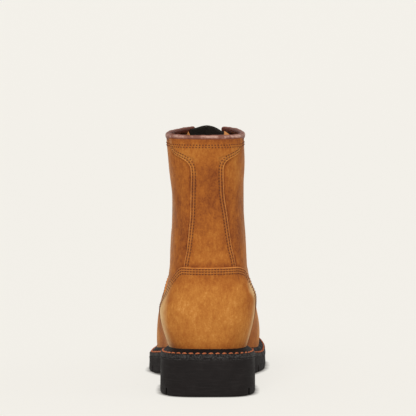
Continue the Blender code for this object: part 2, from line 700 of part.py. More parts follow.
def make_vamp(columns=27):
    """The forefoot's overlay, from the welt's lip to a seam that sweeps back from the throat to the arch."""
    side, spread = signed_grid(1.0, columns)
    spread = spread ** VAMP_CROWDING
    top = ridge_drop(VAMP_DROP)
    levels = upper_rows()
    levels = levels[levels < top + SAME]
    rows = len(levels)
    u, t = np.zeros((rows, columns)), np.zeros((rows, columns))
    for r, level in enumerate(levels):
        reach = smooth_through(VAMP_REACH, level / top)
        for c in range(columns):
            u[r, c] = 1 - spread[c] * reach / FORM.half_girth(side[c], level)[0]
            t[r, c] = max(level, lip_level(side[c], u[r, c]))
    shell("vamp", np.tile(side, (rows, 1)), u, t, OVERLAY_GAP, OVERLAY_GAP + OVERLAY, "leather")


def ridge_drop(run):
    """t of the ring that lies this far below the throat's end along the ridge."""
    fine = np.linspace(0.0, THROAT_END, 200)
    line = FORM.point(MEDIAL, 1.0, fine)
    length = np.concatenate([[0], np.cumsum(np.linalg.norm(np.diff(line, axis=0), axis=1))])
    return np.interp(length[-1] - run, length, fine)


def lip_level(side, u):
    return FORM.level(side, u, FORM.point(side, u, 0.0)[2] + WELT_LIP + 2 * GAP)


def make_tongue(columns=11, rows=11):
    """A lined strip under the throat, its top edge peaked in the middle."""
    side, share = signed_grid(1.0, columns)
    root = ridge_drop(TONGUE_ROOT)
    u, t = np.zeros((rows, columns)), np.zeros((rows, columns))
    lift = np.zeros((rows, columns))
    for c in range(columns):
        top = TONGUE_PEAK + (TONGUE_SHOULDER - TONGUE_PEAK) * share[c] ** TONGUE_ARCH
        for r, level in enumerate(np.linspace(root, 1, rows)):
            t[r, c] = level
            u[r, c] = 1 - share[c] * TONGUE_HALF / FORM.half_girth(side[c], level)[0]
        lift[-1, c] = top - COLLAR_FRONT
    sides = np.tile(side, (rows, 1))
    near_collar = np.clip((t - TONGUE_BEND) / (TONGUE_BENT - TONGUE_BEND), 0, 1)
    outside = WALL + 2 * GAP + ((BINDING_WIDTH - WALL) / 2 + BINDING_SHIFT) * near_collar
    rise = np.stack([np.zeros_like(lift), np.zeros_like(lift), lift], axis=-1)
    over = FORM.offset(sides, u, t, -outside) + rise
    under = FORM.offset(sides, u, t, -outside - TONGUE_THICKNESS) + rise
    sheet("tongue", under.reshape(-1, 3), over.reshape(-1, 3), rows, columns, "lining")


def make_binding(columns=35):
    """The rolled edge on the collar, from one side of the throat round the back to the other."""
    edge = {side: throat_edge(side, np.array([1.0]))[0] for side in SIDES.values()}
    side = np.where(np.arange(columns) < columns // 2, LATERAL, MEDIAL)
    u = np.concatenate([np.linspace(edge[LATERAL], 0, columns // 2 + 1)[:-1],
                        np.linspace(0, edge[MEDIAL], columns - columns // 2)])
    middle = FORM.offset(side, u, np.ones(columns), np.full(columns, -WALL / 2 - BINDING_SHIFT))
    out = FORM.normal(side, u, np.ones(columns))
    out[:, 2] = 0
    out /= np.linalg.norm(out, axis=1, keepdims=True)
    half, high = BINDING_WIDTH / 2, BINDING_HEIGHT
    shoulder, flat = high - BINDING_SHOULDER, half - BINDING_ROUND
    foot = half - BINDING_HEM
    profile = ((-half, BINDING_HEM), (-half, shoulder), (-flat, high), (flat, high), (half, shoulder),
               (half, BINDING_HEM), (foot, 0), (-foot, 0))
    up = np.array([0, 0, 1.0])
    points = np.concatenate([middle + out * a + up * (b + GAP) for a, b in profile])
    n = len(profile)
    faces = [tuple(k * columns for k in range(n)), tuple(k * columns + columns - 1 for k in range(n))]
    for k in range(n):
        for c in range(columns - 1):
            a, b = k * columns + c, (k + 1) % n * columns + c
            faces.append((a, a + 1, b + 1, b))
    make_object("collar_binding", points, faces, "binding")


# Lacing

def eyelet_levels(shift=0.0):
    return ridge_at(np.linspace(EYELET_FIRST, THROAT_RUN - EYELET_LAST, EYELET_PAIRS) + shift)


def eyelet_spot(side, t):
    """u of an eyelet on one side at a level."""
    t = np.atleast_1d(t)
    return throat_edge(side, t) - EYELET_INSET / FORM.half_girth(side, t)


def eyelet_places():
    """Name, place and outward way of each eyelet."""
    found = []
    for name, side in SIDES.items():
        for k, t in enumerate(eyelet_levels(), 1):
            u = eyelet_spot(side, t)
            way = FORM.normal(side, u, t)[0]
            found.append((f"{name}_{k}", FORM.point(side, u, t)[0], way))
    return found


def make_eyelets():
    angle = np.linspace(0, 2 * np.pi, EYELET_SIDES, endpoint=False)
    profile = ((EYELET_BORE, 0), (EYELET_RADIUS, 0), (EYELET_RADIUS - EYELET_SLOPE, EYELET_HEIGHT),
               (EYELET_BORE, EYELET_HEIGHT))
    for name, place, way in eyelet_places():
        aside = np.cross(way, [0, 0, 1.0])
        aside /= np.linalg.norm(aside)
        over = np.cross(aside, way)
        spoke = np.cos(angle)[:, None] * aside + np.sin(angle)[:, None] * over
        points = np.concatenate([place + spoke * r + way * (h + EYELET_GAP) for r, h in profile])
        n, m = EYELET_SIDES, len(profile)
        faces = [(k * n + i, k * n + (i + 1) % n, (k + 1) % m * n + (i + 1) % n, (k + 1) % m * n + i)
                 for k in range(m) for i in range(n)]
        make_object(f"eyelet_{name}", points, faces, "brass")


def lace_path(start_side, start_t, end_t, arch=0.0):
    """A bar from an eyelet on one side over the throat to one on the other side."""
    share = np.linspace(0, 1, LACE_POINTS)
    t = start_t + (end_t - start_t) * share
    side = np.where(share < 0.5, start_side, -start_side)
    first = 1 - eyelet_spot(start_side, start_t)[0]
    last = 1 - eyelet_spot(-start_side, end_t)[0]
    u = 1 - np.where(share < 0.5, first * (1 - 2 * share), last * (2 * share - 1))
    return FORM.offset(side, u, t, LACE_LIFT + arch * np.sin(np.pi * share) ** 2)


def make_laces():
    bar = eyelet_levels(-LACE_STEP)[0]
    tube("lace_bar", lace_path(LATERAL, bar, bar), LACE_RADIUS, LACE_SIDES, "lace")
    starts, ends = eyelet_levels(LACE_STEP)[:-1], eyelet_levels(-LACE_STEP)[1:]
    for k, (low, high) in enumerate(zip(starts, ends)):
        one = tube(f"lace_cross_{k + 1}", lace_path(LATERAL, low, high), LACE_RADIUS, LACE_SIDES, "lace")
        over = lace_path(MEDIAL, low, high, LACE_ARCH)
        other = tube(f"lace_over_{k + 1}", over, LACE_RADIUS, LACE_SIDES, "lace", cutter=True)
        combine(one, other, "UNION")


def main():
    for made in list(bpy.data.objects):
        bpy.data.objects.remove(made)
    make_sole()
    make_welt()
    make_upper()
    make_counter()
    make_backstay()
    make_vamp()
    make_tongue()
    make_binding()
    make_eyelets()
    make_laces()


main()
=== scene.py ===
"""Looks of the left work boot: nubuck panels, stitching, rolled collar, welt, lug sole and lacing.

Sizes are in millimetres in the boot's own frame and turned into metres when a mesh is made. "along" is the
distance from the heel's back towards the toe. The form's sections are the ones the solids are built from.
"""

from collections import namedtuple

import bmesh
import bpy
import numpy as np
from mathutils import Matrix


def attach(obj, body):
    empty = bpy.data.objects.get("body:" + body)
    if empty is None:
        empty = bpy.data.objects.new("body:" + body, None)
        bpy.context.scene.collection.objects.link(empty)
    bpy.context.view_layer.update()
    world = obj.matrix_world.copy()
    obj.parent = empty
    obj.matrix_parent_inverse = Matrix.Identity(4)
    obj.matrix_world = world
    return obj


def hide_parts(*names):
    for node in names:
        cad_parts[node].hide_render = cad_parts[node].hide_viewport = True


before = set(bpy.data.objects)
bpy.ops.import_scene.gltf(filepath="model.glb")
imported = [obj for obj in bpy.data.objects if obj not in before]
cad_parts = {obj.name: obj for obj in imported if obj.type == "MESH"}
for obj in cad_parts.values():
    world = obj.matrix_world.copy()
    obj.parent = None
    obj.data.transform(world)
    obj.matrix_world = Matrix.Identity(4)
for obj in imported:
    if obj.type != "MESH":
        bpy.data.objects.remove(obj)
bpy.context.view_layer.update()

MM = 0.001
UP = np.array([0, 0, 1.0])
LATERAL, MEDIAL = -1, 1
BOTH = (LATERAL, MEDIAL)
SIDES = {"lateral": LATERAL, "medial": MEDIAL}


def rows_of(kind, *rows):
    """A table with named columns."""
    return [kind(*row) for row in rows]


# Form of the boot, as in the solids
SOLE_LENGTH = 304.0
HALF_LENGTH = SOLE_LENGTH / 2
COLLAR_HEIGHT, COLLAR_FRONT = 228.2, 229.0
TOE_SWING, SWING_START = 9.0, 140.0
WALL = 2.0
MIDSOLE_THICKNESS = 2.3
WELT_EDGE, WELT_LIP = 1.5, 6.2
HEEL_BREAST, BREAST_RUN = 86.0, 2.0
LUG_DEPTH = 6.5
HEEL_AT, WAIST_AT = 0.18, 0.42
BALL_AT = {LATERAL: 0.63, MEDIAL: 0.66}
TOE_SHARE = {LATERAL: 0.78, MEDIAL: 1.0}
SOLE_TOP = ((0, 36.4), (50, 33.7), (85, 30.7), (120, 25.3), (155, 19.2), (190, 15.3), (215, 14.9),
            (250, 16.7), (280, 20.5), (SOLE_LENGTH, 25.5))
SOLE_UNDER = ((HEEL_BREAST, 17.5), (120, 11.5), (150, 3.5), (168, 0), (235, 0), (260, 2), (285, 6.5),
              (SOLE_LENGTH, 11))
Section = namedtuple(
    "Section",
    "back back_z front front_z heel_out heel_in waist_out waist_in ball_out ball_in"
    " back_round front_round back_power front_power follow",
)
SOLE_EDGE = Section(0, 0, SOLE_LENGTH, 0, 42.2, 42.6, 38.5, 36.5, 55.5, 52.6, 50, 92, 3.4, 2.5, 1)
UPPER_SECTIONS = rows_of(
    Section,
    (10.5, 36.2, 294.2, 24.1, 30.8, 32.0, 32.5, 29.0, 45.0, 43.6, 50, 88, 2.7, 2.40, 1.00),
    (7.0, 53.5, 298.2, 38, 36.6, 36.2, 36.0, 32.5, 46.4, 45.0, 50, 88, 2.7, 2.40, 0.85),
    (4.6, 65.5, 296.0, 53, 40.0, 39.4, 37.2, 35.5, 45.2, 43.6, 52, 92, 2.7, 2.35, 0.60),
    (4.3, 77.5, 285.0, 67, 41.2, 41.6, 38.0, 38.0, 41.8, 41.4, 54, 108, 2.7, 2.20, 0.35),
    (5.5, 89.5, 262.0, 76.5, 38.4, 43.2, 37.0, 40.6, 38.0, 39.6, 54, 120, 2.7, 2.05, 0.15),
    (8.0, 100.5, 232.0, 86.5, 36.0, 38.6, 35.6, 38.4, 36.0, 38.0, 54, 115, 2.7, 2.00, 0.05),
    (10.5, 111.5, 202.0, 99, 34.2, 35.6, 34.4, 36.0, 34.6, 36.0, 54, 105, 2.7, 2.00, 0.00),
    (12.5, 125.5, 171.0, 117.5, 33.3, 35.0, 33.4, 35.0, 33.8, 34.5, 54, 92, 2.7, 2.00, 0.00),
    (13.5, 143.5, 149.5, 141.5, 32.3, 33.6, 32.3, 33.6, 32.8, 33.0, 54, 78, 2.7, 2.05, 0.00),
    (13.0, 179.5, 137.5, 179.5, 32.2, 32.6, 32.2, 32.6, 31.6, 32.2, 54, 71, 2.7, 2.10, 0.00),
    (11.0, 206.5, 133.5, 206.5, 35.9, 33.3, 35.0, 33.2, 32.8, 32.5, 54, 76, 2.7, 2.10, 0.00),
    (9.5, COLLAR_HEIGHT, 131.0, COLLAR_FRONT, 38.2, 33.2, 36.0, 32.8, 32.6, 32.0, 54, 82, 2.7, 2.10, 0.00),
)
SECTION_SAMPLES, SECTION_POINTS, GIRTH_POINTS, FORM_LEVELS = 300, 400, 121, 161
RIDGE_POINTS, RIDGE_STEPS, RIDGE_FOOT = 240, 321, 0.2
CLIMB_STEPS, NORMAL_STEP = 22, 0.004
THROAT_FRONT = 197.0
THROAT_HALF_GAP = ((0, 0), (2, 5.6), (6, 8.6), (12, 10), (60, 12), (160, 17.5))
EYELET_PAIRS, EYELET_INSET, EYELET_FIRST, EYELET_LAST = 8, 9.5, 11.0, 13.0
PanelEdge = namedtuple("PanelEdge", "height outer inner")
COUNTER_EDGE = rows_of(
    PanelEdge,
    (114, 0, 0), (114, 22, 27), (112.1, 27.3, 36.8), (109.5, 31.2, 42.8), (105.5, 36, 47.5),
    (100.5, 41, 51.4), (95.5, 46, 54.4), (87.4, 55.5, 59.5), (77.4, 67, 68), (66.2, 83, 83),
    (55.5, 104, 104), (46.8, 122, 122),
)
BACKSTAY_EDGE = rows_of(
    PanelEdge,
    (101.5, 23.5, 29), (114.9, 21.7, 26.5), (138.5, 17.6, 21), (161.5, 15.4, 17.6), (181.5, 14.9, 14.6),
    (196.5, 14.7, 14.1), (202.5, 15.2, 14.3), (206, 16.8, 15.4), (208.5, 19.4, 17.4), (211, 24.2, 21.6),
    (213.5, 31, 28.8), (216.5, 36.6, 35.4), (220, 39, 38.8), (COLLAR_HEIGHT, 42, 41.5),
)
VAMP_REACH = ((0, 200), (0.25, 182), (0.5, 152), (0.75, 112), (0.9, 82), (1, 58))
VAMP_DROP = 7.0
HEEL_GROOVES = ((12, -50), (38, 0), (64, 0))
FOREPART_GROOVES = ((172, -8), (193, -4), (214, 0), (235, 6), (256, 16), (276, 30))
GROOVE_WIDTH, GROOVE_REACH = 3.2, 17.0
CENTRE_GROOVES, CENTRE_GROOVE_HALF = (182, 203, 224, 245), 20.0
HEEL_RECESS = (28, 66, 17)

# Leather: how far each overlay stands off the upper, and its seams' distances from the edge
COUNTER_LIFT, BACKSTAY_LIFT, VAMP_LIFT = 2.1, 1.5, 2.1
COUNTER_SEAMS = (1.9, 4.0, 6.1)
BACKSTAY_SEAMS = (1.9, 4.2)
VAMP_SEAMS = (2.0, 4.2, 6.4)
COLLAR_SEAMS = (5.0, 7.1)
THROAT_SEAMS = (3.2, 16.0)

# Camera of the photo: behind the heel, looking a little down
CAMERA_DISTANCE, CAMERA_HEIGHT, CAMERA_ASIDE = 3000.0, 409.5, 0.45
CAMERA_LENS, CAMERA_TILT = 295.2, 4.6


# Curves and the form

def smooth_through(table, at):
    """A curve through the table's points that never overshoots them."""
    x, y = np.array(table, float).T
    step, rise = np.diff(x), np.diff(y) / np.diff(x)
    slope = np.zeros(len(x))
    same_way = rise[:-1] * rise[1:] > 0
    mean = (step[:-1] + step[1:]) * 3
    with np.errstate(divide="ignore", invalid="ignore"):
        harmonic = mean / ((2 * step[1:] + step[:-1]) / rise[:-1] + (step[1:] + 2 * step[:-1]) / rise[1:])
    slope[1:-1] = np.where(same_way, harmonic, 0)
    slope[0], slope[-1] = rise[0], rise[-1]
    at = np.clip(np.asarray(at, float), x[0], x[-1])
    i = np.clip(np.searchsorted(x, at) - 1, 0, len(x) - 2)
    h = step[i]
    q = (at - x[i]) / h
    return (y[i] * (1 + 2 * q) * (1 - q) ** 2 + slope[i] * h * q * (1 - q) ** 2
            + y[i + 1] * q * q * (3 - 2 * q) - slope[i + 1] * h * q * q * (1 - q))


def ease(value, low, high):
    """0 at low, 1 at high, smooth between and level beyond."""
    q = np.clip((np.asarray(value, float) - low) / (high - low), 0, 1)
    return q * q * (3 - 2 * q)


def unit(vectors):
    return vectors / np.linalg.norm(vectors, axis=-1, keepdims=True)


def circle(count):
    """Angles of points spread evenly round a circle."""
    return np.linspace(0, 2 * np.pi, count, endpoint=False)


def by_side(side, value):
    """A value that is worked out for each side, picked point by point."""
    return np.where(np.asarray(side) == LATERAL, value(LATERAL), value(MEDIAL))


def closer_ends(count, amount):
    """Shares from 0 to 1, even at an amount of 0 and closest together at both ends at 1."""
    share = np.linspace(0, 1, count)
    return amount * (1 - np.cos(np.pi * share)) / 2 + (1 - amount) * share


def run_length(points):
    """Distance along a line at each of its points."""
    steps = np.linalg.norm(np.diff(points, axis=0), axis=-1)
    return np.concatenate([np.zeros_like(steps[:1]), np.cumsum(steps, axis=0)])


def along_line(at, run, line):
    """Points or directions of a line at distances along it."""
    return np.stack([np.interp(at, run, line[:, k]) for k in range(3)], axis=1)


def swing(along):
    """How far the boot's middle line has swung inwards."""
    return TOE_SWING * np.clip((along - SWING_START) / (SOLE_LENGTH - SWING_START), 0, None) ** 2


def half_width(section, side, along, inset=0.0):
    """Half width of a section at distances along the boot, rounded off at heel and toe."""
    back, front = section.back + inset, section.front - inset
    if side == LATERAL:
        heel_width, waist_width, ball_width = section.heel_out, section.waist_out, section.ball_out
    else:
        heel_width, waist_width, ball_width = section.heel_in, section.waist_in, section.ball_in
    widths = ((0, heel_width), (HEEL_AT, heel_width), (WAIST_AT, waist_width), (BALL_AT[side], ball_width),
              (1, ball_width * TOE_SHARE[side]))
    core = smooth_through(widths, (along - back) / (front - back)) - inset
    heel = np.clip(1 - (along - back) / (section.back_round - inset), 0, 1)
    toe = np.clip(1 - (front - along) / (section.front_round - inset), 0, 1)
    heel_cap = (1 - heel ** section.back_power) ** (1 / section.back_power)
    toe_cap = (1 - toe ** section.front_power) ** (1 / section.front_power)
    return core * heel_cap * toe_cap


def section_line(section, side):
    """Points of half a section at equal distances, from the back seam to the front."""
    share = closer_ends(SECTION_SAMPLES, 1)
    along = section.back + (section.front - section.back) * share
    x = side * half_width(section, side, along) + swing(along)
    ends = smooth_through(SOLE_TOP, np.array([section.back, section.front]))
    own_curve = smooth_through(SOLE_TOP, along) - (ends[0] + (ends[1] - ends[0]) * share)
    z = section.back_z + (section.front_z - section.back_z) * share + section.follow * own_curve
    points = np.stack([x, along - HALF_LENGTH, z], axis=1)
    run = run_length(points)
    return along_line(np.linspace(0, run[-1], SECTION_POINTS), run, points)


class Form:
    """The upper's outside: u runs from the back seam (0) to the front (1), t from sole (0) to collar (1)."""

    def __init__(self, sections):
        self.lines = {side: np.stack([section_line(s, side) for s in sections]) for side in BOTH}
        both = np.concatenate([self.lines[side] for side in BOTH], axis=1)
        steps = np.linalg.norm(np.diff(both, axis=0), axis=2).mean(axis=1)
        self.knots = np.concatenate([[0], np.cumsum(steps)]) / steps.sum()
        self.bend = self.spline_bend()
        self.levels = np.linspace(0, 1, FORM_LEVELS)
        self.girths = {side: self.measure(side) for side in BOTH}

    def spline_bend(self):
        """Second derivatives of a natural cubic spline at its knots, as a matrix on the knot values."""
        n, h = len(self.knots), np.diff(self.knots)
        left, right = np.eye(n), np.zeros((n, n))
        for i in range(1, n - 1):
            left[i, i - 1:i + 2] = h[i - 1] / 6, (h[i - 1] + h[i]) / 3, h[i] / 6
            right[i, i - 1:i + 2] = 1 / h[i - 1], -1 / h[i - 1] - 1 / h[i], 1 / h[i]
        return np.linalg.solve(left, right)

    def weights(self, t):
        """Share of each section's line in the surface at a level."""
        i = np.clip(np.searchsorted(self.knots, t) - 1, 0, len(self.knots) - 2)
        h = self.knots[i + 1] - self.knots[i]
        p = (self.knots[i + 1] - t) / h
        q = 1 - p
        w = ((p ** 3 - p) * h * h / 6)[:, None] * self.bend[i]
        w += ((q ** 3 - q) * h * h / 6)[:, None] * self.bend[i + 1]
        rows = np.arange(len(t))
        w[rows, i] += p
        w[rows, i + 1] += q
        return w

    def point(self, side, u, t):
        """Points of the surface."""
        side, u, t = np.broadcast_arrays(side, u, t)
        shape = u.shape
        side, u, t = side.ravel(), np.clip(u.ravel(), 0, 1), t.ravel()
        last = self.lines[LATERAL].shape[1] - 1
        i = np.clip((u * last).astype(int), 0, last - 1)
        share = (u * last - i)[:, None]
        w = self.weights(t)
        out = np.zeros((len(u), 3))
        for s, lines in self.lines.items():
            at = side == s
            along = lines[:, i[at]] * (1 - share[at]) + lines[:, i[at] + 1] * share[at]
            out[at] = np.einsum("kr,rkc->kc", w[at], along)
        return out.reshape(*shape, 3)

    def normal(self, side, u, t):
        """Directions out of the surface, with no sideways lean at the back seam and the front."""
        step = NORMAL_STEP
        side, u, t = np.broadcast_arrays(side, u, t)
        near_back, near_front = ease(u, step, 0)[..., None], ease(u, 1 - step, 1)[..., None]
        across = side[..., None] * np.array([1.0, 0, 0])
        round_way = unit(self.point(side, u + step, t) - self.point(side, u - step, t))
        round_way = round_way * (1 - near_back - near_front) + across * (near_back - near_front)
        up_way = self.point(side, u, np.minimum(t + step, 1)) - self.point(side, u, np.maximum(t - step, 0))
        return unit(np.cross(round_way, up_way) * side[..., None])

    def spot(self, side, u, t):
        """Points and the directions out of the surface there."""
        return self.point(side, u, t), self.normal(side, u, t)

    def lifted(self, side, u, t, height):
        """Points at a height above the surface."""
        base, out = self.spot(side, u, t)
        return base + out * np.asarray(height, float)[..., None]

    def measure(self, side):
        """Half the girth at every level of the form, on one side."""
        line = self.point(side, np.linspace(0, 1, GIRTH_POINTS), self.levels[:, None])
        return np.linalg.norm(np.diff(line, axis=1), axis=2).sum(axis=1)

    def girth(self, side, t):
        """Half the girth at a level, on one side."""
        return by_side(side, lambda s: np.interp(t, self.levels, self.girths[s]))

    def climb(self, side, z, u_at):
        """Levels where the surface reaches these heights, with u given for each level."""
        low, high = np.zeros(np.shape(z)), np.ones(np.shape(z))
        for _ in range(CLIMB_STEPS):
            t = (low + high) / 2
            above = self.point(side, u_at(t), t)[..., 2] > z
            high = np.where(above, t, high)
            low = np.where(above, low, t)
        return t

    def find(self, side, girth, z):
        """u and t of points at these girths from the back seam and these heights."""
        side, girth, z = np.broadcast_arrays(side, girth, z)
        t = self.climb(side, z, lambda level: girth / self.girth(side, level))
        return girth / self.girth(side, t), t


FORM = Form(UPPER_SECTIONS)


def ridge_line(low, high):
    """Levels and distances along the front ridge between two levels."""
    t = np.linspace(low, high, RIDGE_POINTS)
    return t, run_length(FORM.point(MEDIAL, 1.0, t))


def ridge_level(along):
    """Level of the front ridge above the toe at a distance along the boot."""
    t = np.linspace(RIDGE_FOOT, 1, RIDGE_STEPS)
    return float(np.interp(-along, -FORM.point(MEDIAL, 1.0, t)[:, 1] - HALF_LENGTH, t))


THROAT_END = ridge_level(THROAT_FRONT)
THROAT_LEVELS, THROAT_RUNS = ridge_line(THROAT_END, 1.0)
THROAT_RUN = THROAT_RUNS[-1]
FOOT_LEVELS, FOOT_RUNS = ridge_line(0.0, THROAT_END)


def ridge_at(run):
    """Level at a distance along the ridge above the throat's end, or below it if negative."""
    run = np.asarray(run, float)
    above = np.interp(run, THROAT_RUNS, THROAT_LEVELS)
    return np.where(run >= 0, above, np.interp(FOOT_RUNS[-1] + run, FOOT_RUNS, FOOT_LEVELS))


def throat_gap(t):
    """Half width of the lacing opening at a level."""
    run = np.interp(t, THROAT_LEVELS, THROAT_RUNS)
    return smooth_through(THROAT_HALF_GAP, run) * (np.asarray(t) > THROAT_END)


# Creases: soft troughs. View, middle line through three points, depth and half width.
# Side views are (along, height), top views (sideways, along), back views (sideways, height).
Crease = namedtuple("Crease", "view sides start middle end depth width")
CREASES = rows_of(
    Crease,
    ("side", BOTH, (78, 127.5), (104, 134.5), (136, 130.5), 1.2, 6.0),
    ("side", BOTH, (84, 111.5), (116, 116.5), (152, 109.5), 1.0, 5.0),
    ("side", (LATERAL,), (80, 147.5), (102, 153.5), (128, 150.5), 0.8, 6.5),
    ("side", (MEDIAL,), (82, 142.5), (106, 149.5), (130, 143.5), 0.9, 6.0),
    ("side", BOTH, (118, 99.5), (140, 109.5), (166, 119.5), 1.1, 5.5),
    ("side", BOTH, (86, 179.5), (102, 184.5), (120, 180.5), 0.5, 7.0),
    ("back", (LATERAL,), (-34, 153.5), (-31, 146.5), (-29, 135.5), 0.45, 2.6),
    ("back", (LATERAL,), (-37, 119.5), (-34, 113.5), (-35, 105.5), 0.4, 2.6),
    ("back", (MEDIAL,), (31, 143.5), (33, 133.5), (34, 121.5), 0.4, 2.6),
    ("top", BOTH, (-38, 206), (0, 222), (42, 212), 0.9, 4.5),
    ("top", BOTH, (-40, 190), (-12, 207), (30, 203), 0.7, 4.0),
    ("top", BOTH, (-20, 236), (6, 240), (36, 228), 0.6, 4.0),
    ("back", BOTH, (-20, 129.5), (0, 125.5), (24, 131.5), 0.5, 5.0),
    ("back", BOTH, (-26, 141.5), (-8, 138.5), (12, 142.5), 0.4, 4.5),
    ("back", BOTH, (-36, 67.5), (-14, 61.5), (16, 64.5), 0.35, 6.0),
)
VIEW_AXES = {"side": (1, 2), "top": (0, 1), "back": (0, 2)}
VIEW_WAY = {"side": 0, "top": 2, "back": 1}
CREASE_STEPS, CREASE_END, CREASE_FADE, CREASE_FACING = 16, 0.08, 0.7, (0.25, 0.75)
RIDGE_SHARE = 0.35  # height of the ridges beside a trough, as a share of its depth
SLOW_WAVE, QUICK_WAVE = 0.22, 0.12

# Wear and painted light: soft marks on the back, each lighter or darker than the leather round it
# Some are wear; others are painted shadow beside the panels' edges and painted highlight near the outline
WearAndLightMark = namedtuple("WearAndLightMark", "x z wide high change")
WEAR_AND_LIGHT_MARKS = rows_of(
    WearAndLightMark,
    (-19, 216.5, 12, 4, 0.06), (17, 216.5, 10, 5, 0.05), (-25, 207.5, 5, 5, 0.06), (27, 200.5, 4, 16, 0.09),
    (20.5, 200.5, 4, 8, -0.06), (4, 195.5, 9, 6, -0.05), (-5.5, 181.5, 6, 6, 0.03), (24, 185.5, 5, 5, 0.03),
    (27, 164.5, 5, 8, 0.01), (-28, 173.5, 5, 10, -0.04), (30, 153.5, 4, 7, -0.01), (31, 141.5, 3, 6, -0.05),
    (-29, 141.5, 3, 8, 0.10), (-24, 125.5, 4, 12, -0.06), (-32, 112.5, 3, 9, 0.10),
    (27.5, 129.5, 3, 12, -0.10), (34, 129.5, 2.5, 12, 0.10), (-9, 124.5, 7, 6, 0.05),
    (9, 119.5, 7, 5, 0.04), (0, 119.5, 3, 3, -0.06),
    (2, 102.5, 8, 4, -0.05), (-17, 77.5, 7, 4, 0.06), (5, 85.5, 9, 7, 0.03), (18, 74.5, 6, 6, 0.04),
    (1, 70.5, 5, 5, -0.03), (35.5, 83.5, 3.5, 9, -0.15), (37, 68.5, 3, 9, -0.04), (-32, 85.5, 4.5, 7, -0.12),
    (-22, 53.5, 7, 4, -0.06), (22, 52.5, 8, 4, -0.05), (-42.5, 43, 1.8, 7, -0.16), (-46, 36, 4, 13, 0.26),
    (43, 42, 1.8, 6, -0.12), (47, 36, 4, 13, 0.15),
)
WEAR_AND_LIGHT_FACING = (0.5, 0.0)


def with_wear_and_light(tone, points, normals):
    """Tones with the wear of the boot's back and its painted shadows and highlights."""
    behind = ease(normals[..., 1], *WEAR_AND_LIGHT_FACING)
    for mark in WEAR_AND_LIGHT_MARKS:
        aside, above = (points[..., 0] - mark.x) / mark.wide, (points[..., 2] - mark.z) / mark.high
        tone = tone + mark.change * behind * np.exp(-aside ** 2 - above ** 2)
    return tone


def crease_depth(points, normals, side):
    """How far the leather is moved in or out at each point by the creases and by slow waves."""
    place = points + np.array([0, HALF_LENGTH, 0])
    moved = np.zeros(points.shape[:-1])
    q = np.linspace(0, 1, CREASE_STEPS + 1)[:, None]
    for crease in CREASES:
        start, middle, end = (np.array(p, float) for p in (crease.start, crease.middle, crease.end))
        line = start * (1 - q) ** 2 + 2 * middle * q * (1 - q) + end * q ** 2
        away = np.linalg.norm(place[..., None, VIEW_AXES[crease.view]] - line, axis=-1)
        distance = away.min(axis=-1)
        share = CREASE_END + (1 - 2 * CREASE_END) * away.argmin(axis=-1) / CREASE_STEPS
        fade = np.sin(np.pi * share) ** CREASE_FADE
        facing = normals[..., VIEW_WAY[crease.view]]
        strength = crease.depth * fade * ease(np.abs(facing), *CREASE_FACING) * np.isin(side, crease.sides)
        if crease.view == "back":
            strength = strength * (facing < 0)
        trough = np.exp(-(distance / crease.width) ** 2)
        ridge = np.exp(-((distance - 2 * crease.width) / crease.width) ** 2)
        moved += strength * (RIDGE_SHARE * ridge - trough)
    x, y, z = np.moveaxis(place, -1, 0)
    slow = np.sin(x / 13 + z / 19) * np.sin(y / 17 - z / 23)
    return moved + SLOW_WAVE * slow + QUICK_WAVE * np.sin(x / 6.1 - y / 7.3 + z / 5.7)


# Materials

class Shader:
    """A material's nodes, with short ways to add the ones used here."""

    def __init__(self, name, values):
        self.material = bpy.data.materials.new(name)
        self.material.use_nodes = True
        self.tree = self.material.node_tree
        self.surface = self.tree.nodes["Principled BSDF"]
        self.place = self.tree.nodes.new("ShaderNodeTexCoord").outputs["Object"]
        self.fill(self.surface, values)

    def fill(self, node, values):
        """Link or set a node's inputs, by name or number."""
        for key, value in values.items():
            socket = node.inputs[key]
            if isinstance(value, bpy.types.NodeSocket):
                self.tree.links.new(value, socket)
            else:
                socket.default_value = (*value, 1.0) if socket.type == "RGBA" else value

    def node(self, kind, values, **settings):
        node = self.tree.nodes.new("ShaderNode" + kind)
        for key, value in settings.items():
            setattr(node, key, value)
        self.fill(node, values)
        return node

    def noise(self, size, detail=2.0, roughness=0.5, stretch=None):
        """Cloudy noise from 0 to 1 with features about this many millimetres wide."""
        place = self.place
        if stretch:
            place = self.node("Mapping", {"Vector": place, "Scale": stretch}).outputs["Vector"]
        values = {"Vector": place, "Scale": 1 / (size * MM), "Detail": detail, "Roughness": roughness}
        return self.node("TexNoise", values).outputs["Fac"]

    def math(self, operation, a, b=0.0):
        return self.node("Math", {0: a, 1: b}, operation=operation).outputs[0]

    def times(self, a, b):
        return self.math("MULTIPLY", a, b)

    def add(self, *values):
        total = values[0]
        for value in values[1:]:
            total = self.math("ADD", total, value)
        return total

    def away(self, value, place):
        """Distance of a value from a place."""
        return self.math("ABSOLUTE", self.math("SUBTRACT", value, place))

    def scaled(self, value, low, high, to_low=0.0, to_high=1.0):
        """A value eased from one range to another."""
        values = {"Value": value, "From Min": low, "From Max": high, "To Min": to_low, "To Max": to_high}
        return self.node("MapRange", values, interpolation_type="SMOOTHSTEP").outputs["Result"]

    def swing_of(self, noise, amount):
        """Noise turned into a change of plus or minus this amount."""
        return self.times(self.math("SUBTRACT", noise, 0.5), 2 * amount)

    def attribute(self, name):
        return self.node("Attribute", {}, attribute_name=name).outputs["Fac"]

    def ramp(self, value, stops):
        node = self.node("ValToRGB", {"Fac": value})
        band = node.color_ramp.elements
        while len(band) < len(stops):
            band.new(0.5)
        for element, (at, colour) in zip(band, stops):
            element.position = at
            element.color = (*colour, 1)
        return node.outputs["Color"]

    def mix(self, share, first, second):
        return self.node("Mix", {"Factor": share, 6: first, 7: second}, data_type="RGBA").outputs[2]

    def bump(self, height, depth, strength):
        values = {"Distance": depth * MM, "Strength": strength, "Height": height}
        return self.node("Bump", values).outputs["Normal"]

    def finished(self, **values):
        """The material, with its surface's colour, roughness and normal."""
        self.fill(self.surface, {key.replace("_", " "): value for key, value in values.items()})
        return self.material


